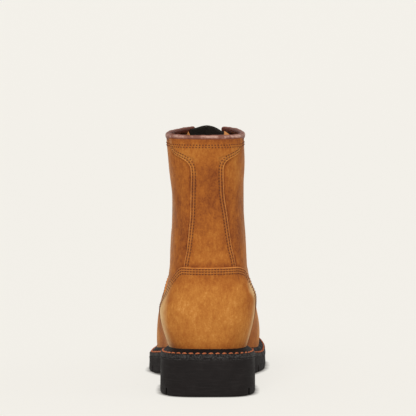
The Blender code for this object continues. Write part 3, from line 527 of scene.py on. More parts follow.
NUBUCK_STOPS = (
    (0.05, (0.085, 0.024, 0.008)),
    (0.28, (0.214, 0.057, 0.014)),
    (0.50, (0.350, 0.108, 0.019)),
    (0.74, (0.468, 0.181, 0.035)),
    (0.95, (0.640, 0.298, 0.085)),
)
NUBUCK_SURFACE = {
    "Roughness": 0.9,
    "Specular IOR Level": 0.1,
    "Sheen Weight": 0.3,
    "Sheen Roughness": 0.25,
    "Sheen Tint": (1.0, 0.75, 0.48),
}
# Pale cut edge that is partly painted highlight, also used for the painted highlight between seam rows
RAW_EDGE_AND_HIGHLIGHT = (0.64, 0.25, 0.058)
# Painted highlight colour, for the pale rim light down the counter's sides
RIM_HIGHLIGHT_COLOUR = (0.66, 0.44, 0.21)
SEAM_SHADE = (0.11, 0.034, 0.016)
# Painted highlight along the collar's roll, and painted shade inside and under it
BINDING_HIGHLIGHT = (0.62, 0.41, 0.34)
SHADED_BINDING = (0.110, 0.027, 0.015)
CRUMB_GREY = (0.076, 0.073, 0.071)


def nubuck(name, seams, blotch):
    """Napped tan leather: cloudy stain, fine nap, painted highlights on the counter's sides and between seam
    rows, pale cut edges that are partly painted highlight, and sunk seams.
    """
    shader = Shader(name, NUBUCK_SURFACE)
    cloud = shader.noise(24, detail=3.0, roughness=0.6)
    patch = shader.noise(7.5, detail=4.0, roughness=0.62)
    nap = shader.noise(1.5, detail=3.0, roughness=0.6)
    fibre = shader.noise(0.5)
    streak = shader.noise(2.6, detail=3.0, roughness=0.65, stretch=(1.0, 1.0, 0.45))
    swings = ((cloud, blotch * 1.5), (patch, blotch * 1.5), (nap, 0.18), (fibre, 0.10), (streak, 0.22))
    tone = shader.add(shader.attribute("tone"), *(shader.swing_of(noise, amount) for noise, amount in swings))
    # Painted highlight: pale rim light down the counter's sides
    painted_highlight = shader.times(shader.attribute("painted_highlight"), shader.scaled(patch, 0.25, 0.6, 0.55, 1.0))
    colour = shader.mix(painted_highlight, shader.ramp(tone, NUBUCK_STOPS), RIM_HIGHLIGHT_COLOUR)
    edge = shader.attribute("edge")
    seam = ridge_highlight = 0.0
    for distance in seams:
        seam = shader.math("MAXIMUM", seam, shader.scaled(shader.away(edge, distance), 0.9, 0.15))
    # Painted highlight on the puffed ridge between seam rows
    for low, high in zip(seams[:-1], seams[1:]):
        between = shader.scaled(shader.away(edge, (low + high) / 2), 0.7, 0.15, 0.0, 0.3)
        ridge_highlight = shader.math("MAXIMUM", ridge_highlight, between)
    colour = shader.mix(shader.times(seam, 0.22), colour, SEAM_SHADE)
    colour = shader.mix(ridge_highlight, colour, RAW_EDGE_AND_HIGHLIGHT)
    # Pale cut edges, partly a painted highlight on the raised edge
    worn_edge_and_highlight = shader.times(shader.scaled(edge, 1.4, 0.4), shader.scaled(patch, 0.3, 0.65, 0.5, 1.0))
    colour = shader.mix(worn_edge_and_highlight, colour, RAW_EDGE_AND_HIGHLIGHT)
    heights = ((nap, 0.5), (fibre, 0.25), (patch, 0.8), (seam, -0.9))
    height = shader.add(*(shader.times(value, share) for value, share in heights))
    return shader.finished(Base_Color=colour, Normal=shader.bump(height, 0.45, 0.8))


def leather(name, dark, light, roughness, specular=0.5, rolled=False):
    """Finished leather with a fine grain. The collar's roll has painted shade inside and a painted highlight
    along its middle.
    """
    shader = Shader(name, {"Roughness": roughness, "Specular IOR Level": specular})
    cloud = shader.noise(9, detail=4.0, roughness=0.65)
    fine = shader.noise(1.6 if rolled else 1.2, detail=3.0, roughness=0.6)
    colour = shader.mix(shader.scaled(cloud, 0.3, 0.7), dark, light)
    gloss = roughness
    if rolled:
        # Painted shade inside and under the roll, and a painted highlight along its middle
        painted_highlight = shader.times(shader.attribute("painted_highlight"), shader.scaled(cloud, 0.4, 0.62, 0.2, 1.1))
        colour = shader.mix(shader.attribute("inner"), colour, SHADED_BINDING)
        colour = shader.mix(painted_highlight, colour, BINDING_HIGHLIGHT)
    else:
        gloss = shader.scaled(fine, 0.3, 0.7, roughness - 0.08, roughness + 0.12)
    normal = shader.bump(shader.add(shader.times(cloud, 1.5), fine), 0.35, 0.7)
    return shader.finished(Base_Color=colour, Roughness=gloss, Normal=normal)


def rubber(name, colour, dust, roughness):
    """Moulded black rubber, dull, with a little grey dust in its grain and pale crumbs at its joint."""
    shader = Shader(name, {"Roughness": roughness, "Specular IOR Level": 0.08})
    cloud = shader.noise(16, detail=4.0, roughness=0.65)
    grain = shader.noise(0.9, detail=3.0, roughness=0.6)
    line = shader.noise(1.0, stretch=(0.06, 0.06, 1.0))
    crumbs = shader.times(shader.attribute("crumbs"), shader.scaled(shader.noise(0.95), 0.46, 0.6))
    haze = shader.add(shader.scaled(cloud, 0.42, 0.8, 0.0, 0.5), shader.scaled(line, 0.45, 0.75, 0.0, 0.35))
    return shader.finished(
        Base_Color=shader.mix(crumbs, shader.mix(haze, colour, dust), CRUMB_GREY),
        Roughness=shader.scaled(cloud, 0.3, 0.7, roughness - 0.1, roughness + 0.15),
        Normal=shader.bump(shader.add(grain, line, shader.times(cloud, 2.0)), 0.22, 0.6),
    )


def cloth(name, dark, light, thread, sheen, specular):
    """Woven cloth: crossed threads at a fine pitch."""
    shader = Shader(name, {"Roughness": 0.92, "Specular IOR Level": specular, "Sheen Weight": sheen})
    fuzz = shader.noise(1.1, detail=3.0, roughness=0.65)
    weave = (shader.noise(thread, detail=1.0, stretch=way) for way in ((1.0, 0.25, 0.25), (0.25, 1.0, 1.0)))
    colour = shader.mix(shader.scaled(fuzz, 0.3, 0.75), dark, light)
    return shader.finished(Base_Color=colour, Normal=shader.bump(shader.add(fuzz, *weave), 0.25, 0.8))


def metal(name, colour, roughness):
    """Plain metal, a little tarnished."""
    shader = Shader(name, {"Roughness": roughness, "Metallic": 1.0})
    tarnish = shader.noise(2.2, detail=4.0, roughness=0.65)
    dull = tuple(0.45 * c for c in colour)
    return shader.finished(
        Base_Color=shader.mix(shader.scaled(tarnish, 0.4, 0.75), colour, dull),
        Roughness=shader.scaled(tarnish, 0.3, 0.7, roughness, roughness + 0.25),
    )


MATERIALS = {
    "skin": nubuck("nubuck_skin", THROAT_SEAMS, 0.13),
    "counter": nubuck("nubuck_counter", COUNTER_SEAMS, 0.10),
    "backstay": nubuck("nubuck_backstay", BACKSTAY_SEAMS, 0.13),
    "vamp": nubuck("nubuck_vamp", VAMP_SEAMS, 0.12),
    "lining": leather("lining_leather", (0.045, 0.012, 0.008), (0.080, 0.023, 0.015), 0.85, 0.06),
    "binding": leather("binding_leather", (0.150, 0.046, 0.027), (0.235, 0.080, 0.049), 0.42, 0.10,
                       rolled=True),
    "thread": cloth("dark_thread", (0.115, 0.037, 0.019), (0.185, 0.064, 0.033), 0.4, 0.0, 0.05),
    "welt_thread": cloth("orange_thread", (0.33, 0.080, 0.030), (0.60, 0.185, 0.072), 0.4, 0.1, 0.1),
    "welt": rubber("welt_black", (0.008, 0.007, 0.0065), (0.018, 0.016, 0.0145), 0.6),
    "rubber": rubber("sole_rubber", (0.0128, 0.0106, 0.0104), (0.027, 0.0235, 0.023), 0.7),
    "tongue": cloth("tongue_lining", (0.014, 0.0112, 0.0092), (0.030, 0.0245, 0.020), 1.0, 0.0, 0.05),
    "gusset": leather("gusset_leather", (0.52, 0.19, 0.055), (0.70, 0.31, 0.105), 0.8, 0.1),
    "insole": leather("insole_leather", (0.14, 0.075, 0.042), (0.24, 0.14, 0.085), 0.7),
    "lace": cloth("lace_weave", (0.055, 0.026, 0.014), (0.14, 0.075, 0.042), 0.8, 0.25, 0.2),
    "brass": metal("eyelet_brass", (0.36, 0.23, 0.10), 0.3),
    # Painted shade: the dark discs closing the eyelets' bores
    "dark": leather("eyelet_bore_shade", (0.01, 0.008, 0.007), (0.014, 0.011, 0.009), 0.9),
}


# Meshes

def put_in_scene(name, data):
    thing = bpy.data.objects.new(name, data)
    bpy.context.scene.collection.objects.link(thing)
    return thing


def grid_faces(rows, columns, closed=False):
    """Quads of a grid of points, joined round its columns if closed."""
    r = np.arange(rows - 1)[:, None] * columns
    c = np.arange(columns if closed else columns - 1)[None, :]
    a, b = r + c, r + (c + 1) % columns
    return np.stack([a, b, b + columns, a + columns], axis=-1).reshape(-1, 4)


def make_piece(name, points, faces, looks, replaces=(), attributes=None, weld=False, sharp=None):
    """A shown piece from points in millimetres; attributes hold one number for each point."""
    mesh = bpy.data.meshes.new(name)
    mesh.from_pydata((np.asarray(points).reshape(-1, 3) * MM).tolist(), [], [tuple(f) for f in faces])
    for key, values in (attributes or {}).items():
        layer = mesh.attributes.new(key, "FLOAT", "POINT")
        layer.data.foreach_set("value", np.asarray(values, np.float32).ravel())
    if weld:
        work = bmesh.new()
        work.from_mesh(mesh)
        bmesh.ops.remove_doubles(work, verts=work.verts, dist=1e-6)
        work.to_mesh(mesh)
        work.free()
    mesh.shade_smooth()
    if sharp:
        mesh.set_sharp_from_angle(angle=np.radians(sharp))
    for look in looks:
        mesh.materials.append(MATERIALS[look])
    piece = put_in_scene(name, mesh)
    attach(piece, "root")
    if replaces:
        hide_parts(*replaces)
    return piece


def fractions(length, count, border, tilt=1.0):
    """Rows across a strip of each length: close together within the border's distances, then even."""
    length = np.asarray(length, float)
    near = np.array(border)[:, None] * tilt / np.maximum(length, 2 * border[-1] * tilt)
    middle = np.linspace(0, 1, count - len(border) + 1)[1:, None]
    return np.concatenate([near, near[-1] + (1 - near[-1]) * middle])


def from_edge(length, count, border):
    """Columns from the edge of each strip to its middle, as shares of the half length from the middle."""
    return 1 - fractions(length, count, border).T


BORDER = (0.0, 0.08, 0.25, 0.5, 0.8, 1.2, 2.0, 3.0, 4.2, 5.4, 6.6)
SHORT_BORDER = BORDER[:9]
EDGE_ROUND, EDGE_START = 1.0, 0.35
RIM_HEIGHT = -0.5


def overlay(part, side, u, t, edge, lift, tone, painted_highlight=0.0):
    """A leather panel over the form, its rim turned down into the upper, paler where a highlight is painted.
    """
    base, out = FORM.spot(side, u, t)
    q = np.clip(edge / EDGE_ROUND, 0, 1)
    rounded = EDGE_START + (1 - EDGE_START) * np.sqrt(1 - (1 - q) ** 2)
    height = np.pad(lift * rounded + crease_depth(base, out, side), 1, constant_values=RIM_HEIGHT)
    marks = {"tone": with_wear_and_light(tone, base, out), "edge": edge, "painted_highlight": np.broadcast_to(painted_highlight, u.shape)}
    marks = {key: np.pad(values, 1, "edge") for key, values in marks.items()}
    base, out = (np.pad(grid, ((1, 1), (1, 1), (0, 0)), "edge") for grid in (base, out))
    make_piece(f"{part}_panel", base + out * height[..., None], grid_faces(*height.shape), [part],
               [part], marks)


# Upper and its panels, with tones by height

# Tones by height. The drop at the top is painted shadow under the collar's roll, and the backstay's dip just
# above the counter's top edge is painted shadow along that edge
SKIN_TONE = ((30, 0.46), (71, 0.48), (106, 0.45), (136, 0.41), (161, 0.43), (186, 0.43), (211, 0.48),
             (222, 0.48), (227, 0.36))
COUNTER_TONE = ((37, 0.33), (44, 0.50), (52, 0.67), (64, 0.69), (81, 0.67), (96, 0.60), (106, 0.51),
                (114, 0.48))
BACKSTAY_TONE = ((101, 0.40), (115, 0.42), (120, 0.55), (139, 0.53), (159, 0.41), (181, 0.37), (202, 0.44),
                 (214, 0.54), (221, 0.51), (227, 0.36))
VAMP_TONE = ((15, 0.50), (40, 0.56), (75, 0.62), (105, 0.56))
SKIN_TONE_WAVE = 0.05
# Painted shade: the counter darker towards its sides, where it turns away from the light
COUNTER_SIDE_SHADE, COUNTER_SIDE_GIRTHS = 0.08, (30, 70)
VAMP_REAR_SHADE, VAMP_REAR_ALONG = 0.14, (215, 150)
STEM_EDGE_SHADE, STEM_EDGE_GIRTHS = 0.05, (10, 14)
HEAD_EDGE_PALE, HEAD_EDGE_BAND, HEAD_PALE_HEIGHTS = 0.12, (6.5, 3.0), (225, 219)
THROAT_ROWS = np.array([0.0, 0.4, 1.0, 2.0, 3.5, 5.0, 7.0, 9.5])  # rows close together above the throat's end
LINING_THROAT_ROWS = np.array([0.0, 2.0, 5.0, 9.0])
FOOT_ROWS, SHAFT_ROWS, SKIN_COLUMNS, SKIN_BOW = 62, 66, 96, 0.05
LINING_ROWS, LINING_COLUMNS = 60, 60
CUT_DROP, CUT_ROUND = 0.5, 0.8
FOOT_FLARE, FLARE_LEVELS = 1.4, (0.07, 0.03)
NO_EDGE = 99.0
BESIDE_SHADE, BESIDE_WIDTH = 0.15, 2.2
ABOVE_SHADE, ABOVE_WIDTH, ABOVE_GIRTHS = 0.13, 2.4, (130, 118)


def shell_grid(levels, count, bow=0.0):
    """Side, u and t of a grid round the upper, from one edge of the throat to the other."""
    half = np.linspace(1, 0, count)
    half = half + bow * np.sin(2 * np.pi * half) / np.pi
    side = np.repeat((LATERAL, MEDIAL), (count, count - 1))
    share = np.concatenate([half, half[-2::-1]])
    side, share, t = np.broadcast_arrays(side, share, levels[:, None])
    return side, share * (1 - throat_gap(t) / FORM.girth(side, t)), t


def panel_edge(table, side):
    """Heights and girths of a panel's edge on one side."""
    return np.array([(row.height, row.outer if side == LATERAL else row.inner) for row in table], float)


def backstay_half(side, z):
    """Girth from the back seam to the backstay's edge at heights on one side."""
    return smooth_through(panel_edge(BACKSTAY_EDGE, side), z)


def counter_top(side, girth):
    """Height of the counter's top edge at girths from the back seam, and its slope there."""
    step = 0.5
    at, before, after = (
        by_side(side, lambda s: smooth_through(panel_edge(COUNTER_EDGE, s)[:, ::-1], g))
        for g in (girth, np.abs(girth - step), girth + step)
    )
    return at, (after - before) / (2 * step)


def panel_shade(side, girth, z):
    """How much painted shadow darkens the upper close beside the backstay and above the counter."""
    beside = np.maximum(girth - by_side(side, lambda s: backstay_half(s, z)), 0)
    above = np.maximum(z - counter_top(side, girth)[0], 0)
    shade = ABOVE_SHADE * np.exp(-(above / ABOVE_WIDTH) ** 2) * ease(girth, *ABOVE_GIRTHS)
    return shade + BESIDE_SHADE * np.exp(-(beside / BESIDE_WIDTH) ** 2)


def make_skin():
    """The upper's outside, with the throat's cut edges turned in to the lining."""
    near = ridge_at(THROAT_ROWS)
    foot, shaft = np.linspace(0, THROAT_END, FOOT_ROWS), np.linspace(near[-1], 1, SHAFT_ROWS)
    side, u, t = shell_grid(np.unique(np.concatenate([foot, near, shaft])), SKIN_COLUMNS, SKIN_BOW)
    base, out = FORM.spot(side, u, t)
    girth = FORM.girth(side, t)
    edge = np.where(t > THROAT_END, girth * (1 - u) - throat_gap(t), NO_EDGE)
    height = crease_depth(base, out, side) - CUT_DROP * (1 - np.clip(edge / CUT_ROUND, 0, 1)) ** 2
    points = base + out * (height + FOOT_FLARE * ease(t, *FLARE_LEVELS))[..., None]
    x, z = points[..., 0], points[..., 2]
    tone = smooth_through(SKIN_TONE, z) + SKIN_TONE_WAVE * np.sin(z / 11 + x / 9)
    tone = tone - panel_shade(side, girth * u, z)
    marks = {"tone": with_wear_and_light(tone, base, out), "edge": edge}
    rim = base - out * WALL
    points = np.concatenate([rim[:, :1], points, rim[:, -1:]], axis=1)
    make_piece("upper_skin", points, grid_faces(*points.shape[:2]), ["skin"], ["upper"],
               {key: np.pad(values, ((0, 0), (1, 1)), "edge") for key, values in marks.items()}, weld=True)


def make_lining():
    """The upper's inside."""
    levels = np.unique(np.concatenate([np.linspace(0, 1, LINING_ROWS), ridge_at(LINING_THROAT_ROWS)]))
    points = FORM.lifted(*shell_grid(levels, LINING_COLUMNS), -WALL)
    faces = grid_faces(*points.shape[:2])[:, ::-1]
    make_piece("upper_lining", points, faces, ["lining"], weld=True)


STEP_OVER_BACKSTAY, STEP_HEIGHTS, STEP_GIRTHS = 0.9, (99.5, 111.5), (31, 24)


def over_backstay(girth, z):
    """How much higher the counter lies where the backstay's foot is under it."""
    return STEP_OVER_BACKSTAY * ease(z, *STEP_HEIGHTS) * ease(girth, *STEP_GIRTHS)


# Painted highlights, pale rim light down both sides of the counter: where they lie sideways at each height,
# and how wide they are
COUNTER_RIM_HIGHLIGHTS = {
    LATERAL: (((44, 36.0), (58, 40.0), (72, 41.2), (86, 39.4), (97, 36.5)), 8.0),
    MEDIAL: (((44, 35.0), (64, 39.8), (84, 42.2), (92, 38.2), (97, 37.0)), 4.0),
}
COUNTER_HIGHLIGHT, HIGHLIGHT_ALONG, HIGHLIGHT_HEIGHTS = 0.95, (60, 36), (106, 94)
COUNTER_COLUMNS, COUNTER_ROWS, COUNTER_FOOT = 233, 64, 3.0


def rim_highlight(side, points):
    """How strongly the painted rim highlight lightens the counter's sides."""
    x, along, z = np.abs(points[..., 0]), points[..., 1] + HALF_LENGTH, points[..., 2]

    def share(which):
        line, width = COUNTER_RIM_HIGHLIGHTS[which]
        at = smooth_through(line, z)
        return ease(x, at - width, at)

    return COUNTER_HIGHLIGHT * by_side(side, share) * ease(along, *HIGHLIGHT_ALONG) * ease(z, *HIGHLIGHT_HEIGHTS)


def make_counter():
    """The heel pocket, its rows close together under its top edge."""
    reach = COUNTER_EDGE[-1].outer
    spread = np.linspace(-reach, reach, COUNTER_COLUMNS)
    side, girth = np.where(spread < 0, LATERAL, MEDIAL), np.abs(spread)
    top, slope = counter_top(side, girth)
    tilt = np.sqrt(1 + slope ** 2)
    foot = FORM.point(side, girth / FORM.girth(side, 0.0), 0.0)[:, 2] + WELT_LIP - COUNTER_FOOT
    z = top - (top - foot) * fractions(top - foot, COUNTER_ROWS, BORDER, tilt)
    edge = np.minimum((top - z) / tilt, reach - girth)
    side, girth = np.broadcast_to(side, z.shape), np.broadcast_to(girth, z.shape)
    u, t = FORM.find(side, girth, z)
    tone = smooth_through(COUNTER_TONE, z) - COUNTER_SIDE_SHADE * ease(girth, *COUNTER_SIDE_GIRTHS)
    # Painted rim highlight down the counter's sides
    painted_highlight = rim_highlight(side, FORM.point(side, u, t))
    lift = COUNTER_LIFT + over_backstay(girth, z)
    overlay("counter", *(grid[::-1] for grid in (side, u, t, edge, lift, tone, painted_highlight)))


# Backstay: from, to and number of its rows, where its head begins, and its share of lift under the counter
STEM_ROWS, HEAD_ROWS = (104.5, 197.5, 70), (198.5, COLLAR_HEIGHT, 46)
BACKSTAY_COLUMNS, BACKSTAY_HEAD_HEIGHTS = 37, (188, 204)
BACKSTAY_FOOT_LIFT, BACKSTAY_FOOT_HEIGHTS = 0.55, (109.5, 119.5)


def make_backstay():
    """The T-shaped panel over the back seam, its foot under the counter."""
    z = np.concatenate([np.linspace(*STEM_ROWS), np.linspace(*HEAD_ROWS)])
    grids = []
    for side in BOTH:
        half = backstay_half(side, z)[:, None]
        tilt = np.sqrt(1 + np.gradient(half[:, 0], z) ** 2)[:, None]
        girth = half * from_edge(half[:, 0], BACKSTAY_COLUMNS, SHORT_BORDER)
        high = np.broadcast_to(z[:, None], girth.shape)
        u, t = FORM.find(side, girth, high)
        edge = (half - girth) / tilt
        head = ease(high, *BACKSTAY_HEAD_HEIGHTS)
        shade = STEM_EDGE_SHADE * ease(girth, *STEM_EDGE_GIRTHS) * (1 - head)
        pale = HEAD_EDGE_PALE * ease(edge, *HEAD_EDGE_BAND) * head * ease(high, *HEAD_PALE_HEIGHTS)
        tone = smooth_through(BACKSTAY_TONE, high) - shade + pale
        foot = BACKSTAY_FOOT_LIFT + (1 - BACKSTAY_FOOT_LIFT) * ease(high, *BACKSTAY_FOOT_HEIGHTS)
        grids.append((np.full(u.shape, side), u, t, edge, BACKSTAY_LIFT * foot, tone))
    overlay("backstay", *(np.concatenate([outer, inner[:, -2::-1]], axis=1) for outer, inner in zip(*grids)))


VAMP_LEVEL = float(ridge_at(-VAMP_DROP))
VAMP_ROWS, VAMP_COLUMNS = 96, 96


def vamp_line(level):
    """Girth from the front to the vamp's seam at a level."""
    return smooth_through(VAMP_REACH, level / VAMP_LEVEL)


def make_vamp():
    """The forefoot's overlay, from the welt to a seam that sweeps back from the throat."""
    length = FOOT_RUNS[-1] - VAMP_DROP
    run = -VAMP_DROP - length * fractions(np.array([length]), VAMP_ROWS, BORDER)[::-1, 0]
    level = ridge_at(run)
    reach = vamp_line(level)
    half = from_edge(reach, VAMP_COLUMNS, SHORT_BORDER)
    spread = np.concatenate([-half, half[:, -2::-1]], axis=1)
    side = np.where(spread < 0, MEDIAL, LATERAL)
    girth = np.abs(spread) * reach[:, None]
    t = np.broadcast_to(level[:, None], girth.shape)
    u = 1 - girth / FORM.girth(side, t)
    base = FORM.point(side, u, t)
    below = run_length(base[::-1])[::-1]
    slope = np.gradient(reach, -run)
    edge = np.minimum(below, (reach[:, None] - girth) / np.sqrt(1 + slope[:, None] ** 2))
    along = base[..., 1] + HALF_LENGTH
    tone = smooth_through(VAMP_TONE, base[..., 2]) - VAMP_REAR_SHADE * ease(along, *VAMP_REAR_ALONG)
    overlay("vamp", side, u, t, edge, VAMP_LIFT, tone)


ROLL_COLUMNS, ROLL_SIDES = 321, 24
ROLL_HALF_WIDTH, ROLL_HALF_HEIGHT, ROLL_INSET, ROLL_END = 2.35, 2.8, 0.4, 2.4
ROLL_RISE, ROLL_FRONT_RISE, ROLL_FRONT = 0.95, 0.8, (0.35, 0.9)
ROLL_WAVES = ((0.05, 7.1, 0), (0.035, 2.9, 1), (0.03, 1.3, 0))  # size, length and start
ROLL_SQUARE_ACROSS, ROLL_SQUARE_UP, ROLL_TIP = 0.8, 0.9, 0.02
# Painted shade inside and under the roll, and a painted highlight along the middle of its outside
ROLL_INNER, ROLL_UNDER = (112, 150), (335, 305)  # where the shade inside begins and ends, in degrees
ROLL_HIGHLIGHT, ROLL_HIGHLIGHT_AT, ROLL_HIGHLIGHT_WIDTH = 0.72, 24.0, 26.0  # how pale, and where round the roll, in degrees


def flattened(value, power):
    """A value from -1 to 1 pushed outwards, to square off a circle."""
    return np.sign(value) * np.abs(value) ** power


def make_binding():
    """The rolled edge of the collar, slightly uneven and rounded off at the throat."""
    spread = np.linspace(-1, 1, ROLL_COLUMNS)
    side = np.where(spread < 0, LATERAL, MEDIAL)
    full = FORM.girth(side, 1.0)
    middle, out = FORM.spot(side, np.abs(spread) * (full - throat_gap(1.0)) / full, 1.0)
    out = unit(out * (1 - UP))
    middle = middle - out * (WALL / 2 + ROLL_INSET)
    run = run_length(middle)
    uneven = 1 + sum(high * np.sin(run / long + start) for high, long, start in ROLL_WAVES)
    from_end = np.minimum(np.minimum(run, run[-1] - run) / ROLL_END, 1)
    size = (uneven * np.sqrt(np.clip(1 - (1 - from_end) ** 2, ROLL_TIP, 1)))[:, None, None]
    angle = circle(ROLL_SIDES)
    across = flattened(np.cos(angle), ROLL_SQUARE_ACROSS) * ROLL_HALF_WIDTH
    upward = flattened(np.sin(angle), ROLL_SQUARE_UP) * ROLL_HALF_HEIGHT
    points = middle[:, None] + size * (across[None, :, None] * out[:, None] + upward[None, :, None] * UP)
    points[..., 2] += (ROLL_RISE + ROLL_FRONT_RISE * ease(np.abs(spread), *ROLL_FRONT))[:, None]
    turn = np.degrees(angle)
    # Painted highlight along the middle of the roll's outside, painted shade inside and under it
    painted_highlight = ROLL_HIGHLIGHT * np.exp(-((turn - ROLL_HIGHLIGHT_AT) / ROLL_HIGHLIGHT_WIDTH) ** 2)
    inner = ease(turn, *ROLL_INNER) * ease(turn, *ROLL_UNDER)
    marks = {key: np.tile(values, (ROLL_COLUMNS, 1)) for key, values in (("painted_highlight", painted_highlight), ("inner", inner))}
    make_piece("collar_roll", points, grid_faces(ROLL_COLUMNS, ROLL_SIDES, closed=True)[:, ::-1], ["binding"],
               ["collar_binding"], marks)


# Tongue: height of its top edge by sideways place, and rise and closing of each row that rolls over it
TONGUE_TOP = ((-30, 224), (-20, 227.5), (-18.4, 229.8), (-17, 231.7), (-11.9, 232.8), (-8.8, 233.5),
              (-4.7, 234.4), (-0.6, 234.8), (4.5, 234.1), (9.7, 232.2), (12.7, 230.5), (14.8, 229.4),
              (20, 227), (30, 224))
TONGUE_ROLL, TONGUE_ROLL_ROWS = 1.2, ((0.55, 0.0), (0.9, 0.18), (1.0, 0.45))
TONGUE_HALF, TONGUE_ROOT, TONGUE_COLUMNS = 30.0, 16.0, 61
TONGUE_THICKNESS, TONGUE_EDGE = 3.4, 0.5
TONGUE_CLEAR, TONGUE_SET_BACK, TONGUE_PUFF = 0.7, 1.6, 1.1  # under the wall, at the top, and in the throat
TONGUE_ROWS, TONGUE_TOP_ROWS, TONGUE_TAPER = 90, 6, 5  # the top rows are 1 mm apart
TONGUE_SET_BACK_RUN, TONGUE_RISE_RUN = 40.0, 24.0  # how far below its top each begins
TONGUE_GAP_GIRTHS, TONGUE_GAP_RUN = (13, 6), (4, 16)


def rolled_top(face, other):
    """One face of the tongue with the rows that close its top edge."""
    across = other[-1] - face[-1]
    rows = [face[-1] + TONGUE_ROLL * lift * UP + across * share for lift, share in TONGUE_ROLL_ROWS]
    return np.concatenate([face, np.stack(rows)])


def make_tongue():
    """The tongue under the throat: black lining inside, leather outside, peaked top."""
    spread = np.linspace(1, -1, TONGUE_COLUMNS)
    run = np.concatenate([np.linspace(-TONGUE_ROOT, THROAT_RUN - TONGUE_TOP_ROWS, TONGUE_ROWS),
                          THROAT_RUN - np.arange(TONGUE_TOP_ROWS)[::-1]])
    side, girth, t = np.broadcast_arrays(
        np.where(spread > 0, MEDIAL, LATERAL), np.abs(spread) * TONGUE_HALF, ridge_at(run)[:, None])
    base, out = FORM.spot(side, 1 - girth / FORM.girth(side, t), t)
    over = ease(run, THROAT_RUN - TONGUE_SET_BACK_RUN, THROAT_RUN)[:, None]
    in_gap = ease(girth, *TONGUE_GAP_GIRTHS) * ease(run, *TONGUE_GAP_RUN)[:, None] * (1 - over)
    outside = TONGUE_PUFF * in_gap - TONGUE_SET_BACK * over - WALL - TONGUE_CLEAR
    thick = TONGUE_THICKNESS * (1 - np.abs(spread) ** TONGUE_TAPER) + TONGUE_EDGE
    front, back = base + out * outside[..., None], base + out * (outside - thick)[..., None]
    top = smooth_through(TONGUE_TOP, front[-1, :, 0]) - TONGUE_ROLL
    rise = ease(run, THROAT_RUN - TONGUE_RISE_RUN, THROAT_RUN)[:, None] * (top - base[-1, :, 2])
    front, back = front + rise[..., None] * UP, back + rise[..., None] * UP
    loop = np.concatenate([rolled_top(front, back), rolled_top(back, front)[:, ::-1]], axis=1)
    rows, ring = loop.shape[:2]
    faces = grid_faces(rows, ring, closed=True)
    piece = make_piece("tongue_lined", loop, faces, ["gusset", "tongue"], ["tongue"])
    row, column = np.divmod(np.arange(len(faces)), ring)
    lined = (column >= TONGUE_COLUMNS - 1) | (row >= len(run) - 1)
    piece.data.polygons.foreach_set("material_index", lined.astype(np.int32))


# Folded gussets beside the tongue: sideways place of each fold's ends and of its tip, and the tip's height
GussetFold = namedtuple("GussetFold", "outer tip inner height")
GUSSET_FOLDS = {LATERAL: GussetFold(22.2, 17.8, 15.2, 230.4), MEDIAL: GussetFold(23.2, 15.4, 14.7, 230.1)}
GUSSET_ALONG, GUSSET_FOOT, GUSSET_SHOULDER = 107.5, 190.0, 225.0
GUSSET_ROWS, GUSSET_OUTER_COLUMNS, GUSSET_INNER_COLUMNS = 14, 9, 7
GUSSET_BOW, GUSSET_LEAN, GUSSET_THICKNESS = 1.5, 3.0, np.array([0, 1.0, -0.4])


def make_gussets():
    """Folded leather inside the tongue's edges, a corner of it showing over the collar."""
    for name, side in SIDES.items():
        fold = GUSSET_FOLDS[side]
        to_tip = np.linspace(fold.outer, fold.tip, GUSSET_OUTER_COLUMNS)
        across = np.concatenate([to_tip, np.linspace(fold.tip, fold.inner, GUSSET_INNER_COLUMNS)[1:]])
        columns = len(across)
        peak = (GUSSET_SHOULDER, fold.height, GUSSET_SHOULDER)
        top = np.interp(-across, (-fold.outer, -fold.tip, -fold.inner), peak)
        share = np.linspace(0, 1, GUSSET_ROWS)[:, None]
        bow = GUSSET_BOW * np.sin(np.pi * (across - fold.outer) / (fold.inner - fold.outer))
        y = GUSSET_ALONG - HALF_LENGTH - bow + GUSSET_LEAN * (1 - share)
        z = GUSSET_FOOT + (top - GUSSET_FOOT) * share
        front = np.stack(np.broadcast_arrays(side * across, y, z), axis=-1)
        loop = np.concatenate([front, (front + GUSSET_THICKNESS)[:, ::-1]], axis=1)
        first, last = (GUSSET_ROWS - 1) * 2 * columns, GUSSET_ROWS * 2 * columns - 1
        rim = [(first + c, first + c + 1, last - 1 - c, last - c) for c in range(columns - 1)]
        faces = [tuple(f)[::-side] for f in [*grid_faces(*loop.shape[:2], closed=True), *rim]]
        make_piece(f"gusset_{name}", loop, faces, ["gusset"])


# Stitching

Thread = namedtuple("Thread", "pitch length radius slant")
UPPER_THREAD = Thread(2.7, 2.0, 0.5, 0.0)
WELT_THREAD = Thread(5.9, 4.9, 0.8, 0.18)
THREAD_PROFILE = np.array([0.35, 0.9, 1.0, 0.9, 0.35])
THREAD_SIDES = 6
THREAD_RISE, THREAD_SINK = 0.1, 0.9  # of its middle and its ends, as shares of the radius
ROW_POINTS, VAMP_TOP_POINTS, VAMP_SIDE_POINTS = 400, 120, 240
COUNTER_ROW_REACH, BACKSTAY_ROW_FOOT, VAMP_ROW_FOOT = 116.0, 115.5, 12.0
COLLAR_ROW_STOP, PANEL_CLEAR = 3.0, 1.0  # short of the throat, and on each side of the backstay's edge
THROAT_ROW_FOOT, THROAT_ROW_STOP = 3.0, 6.0


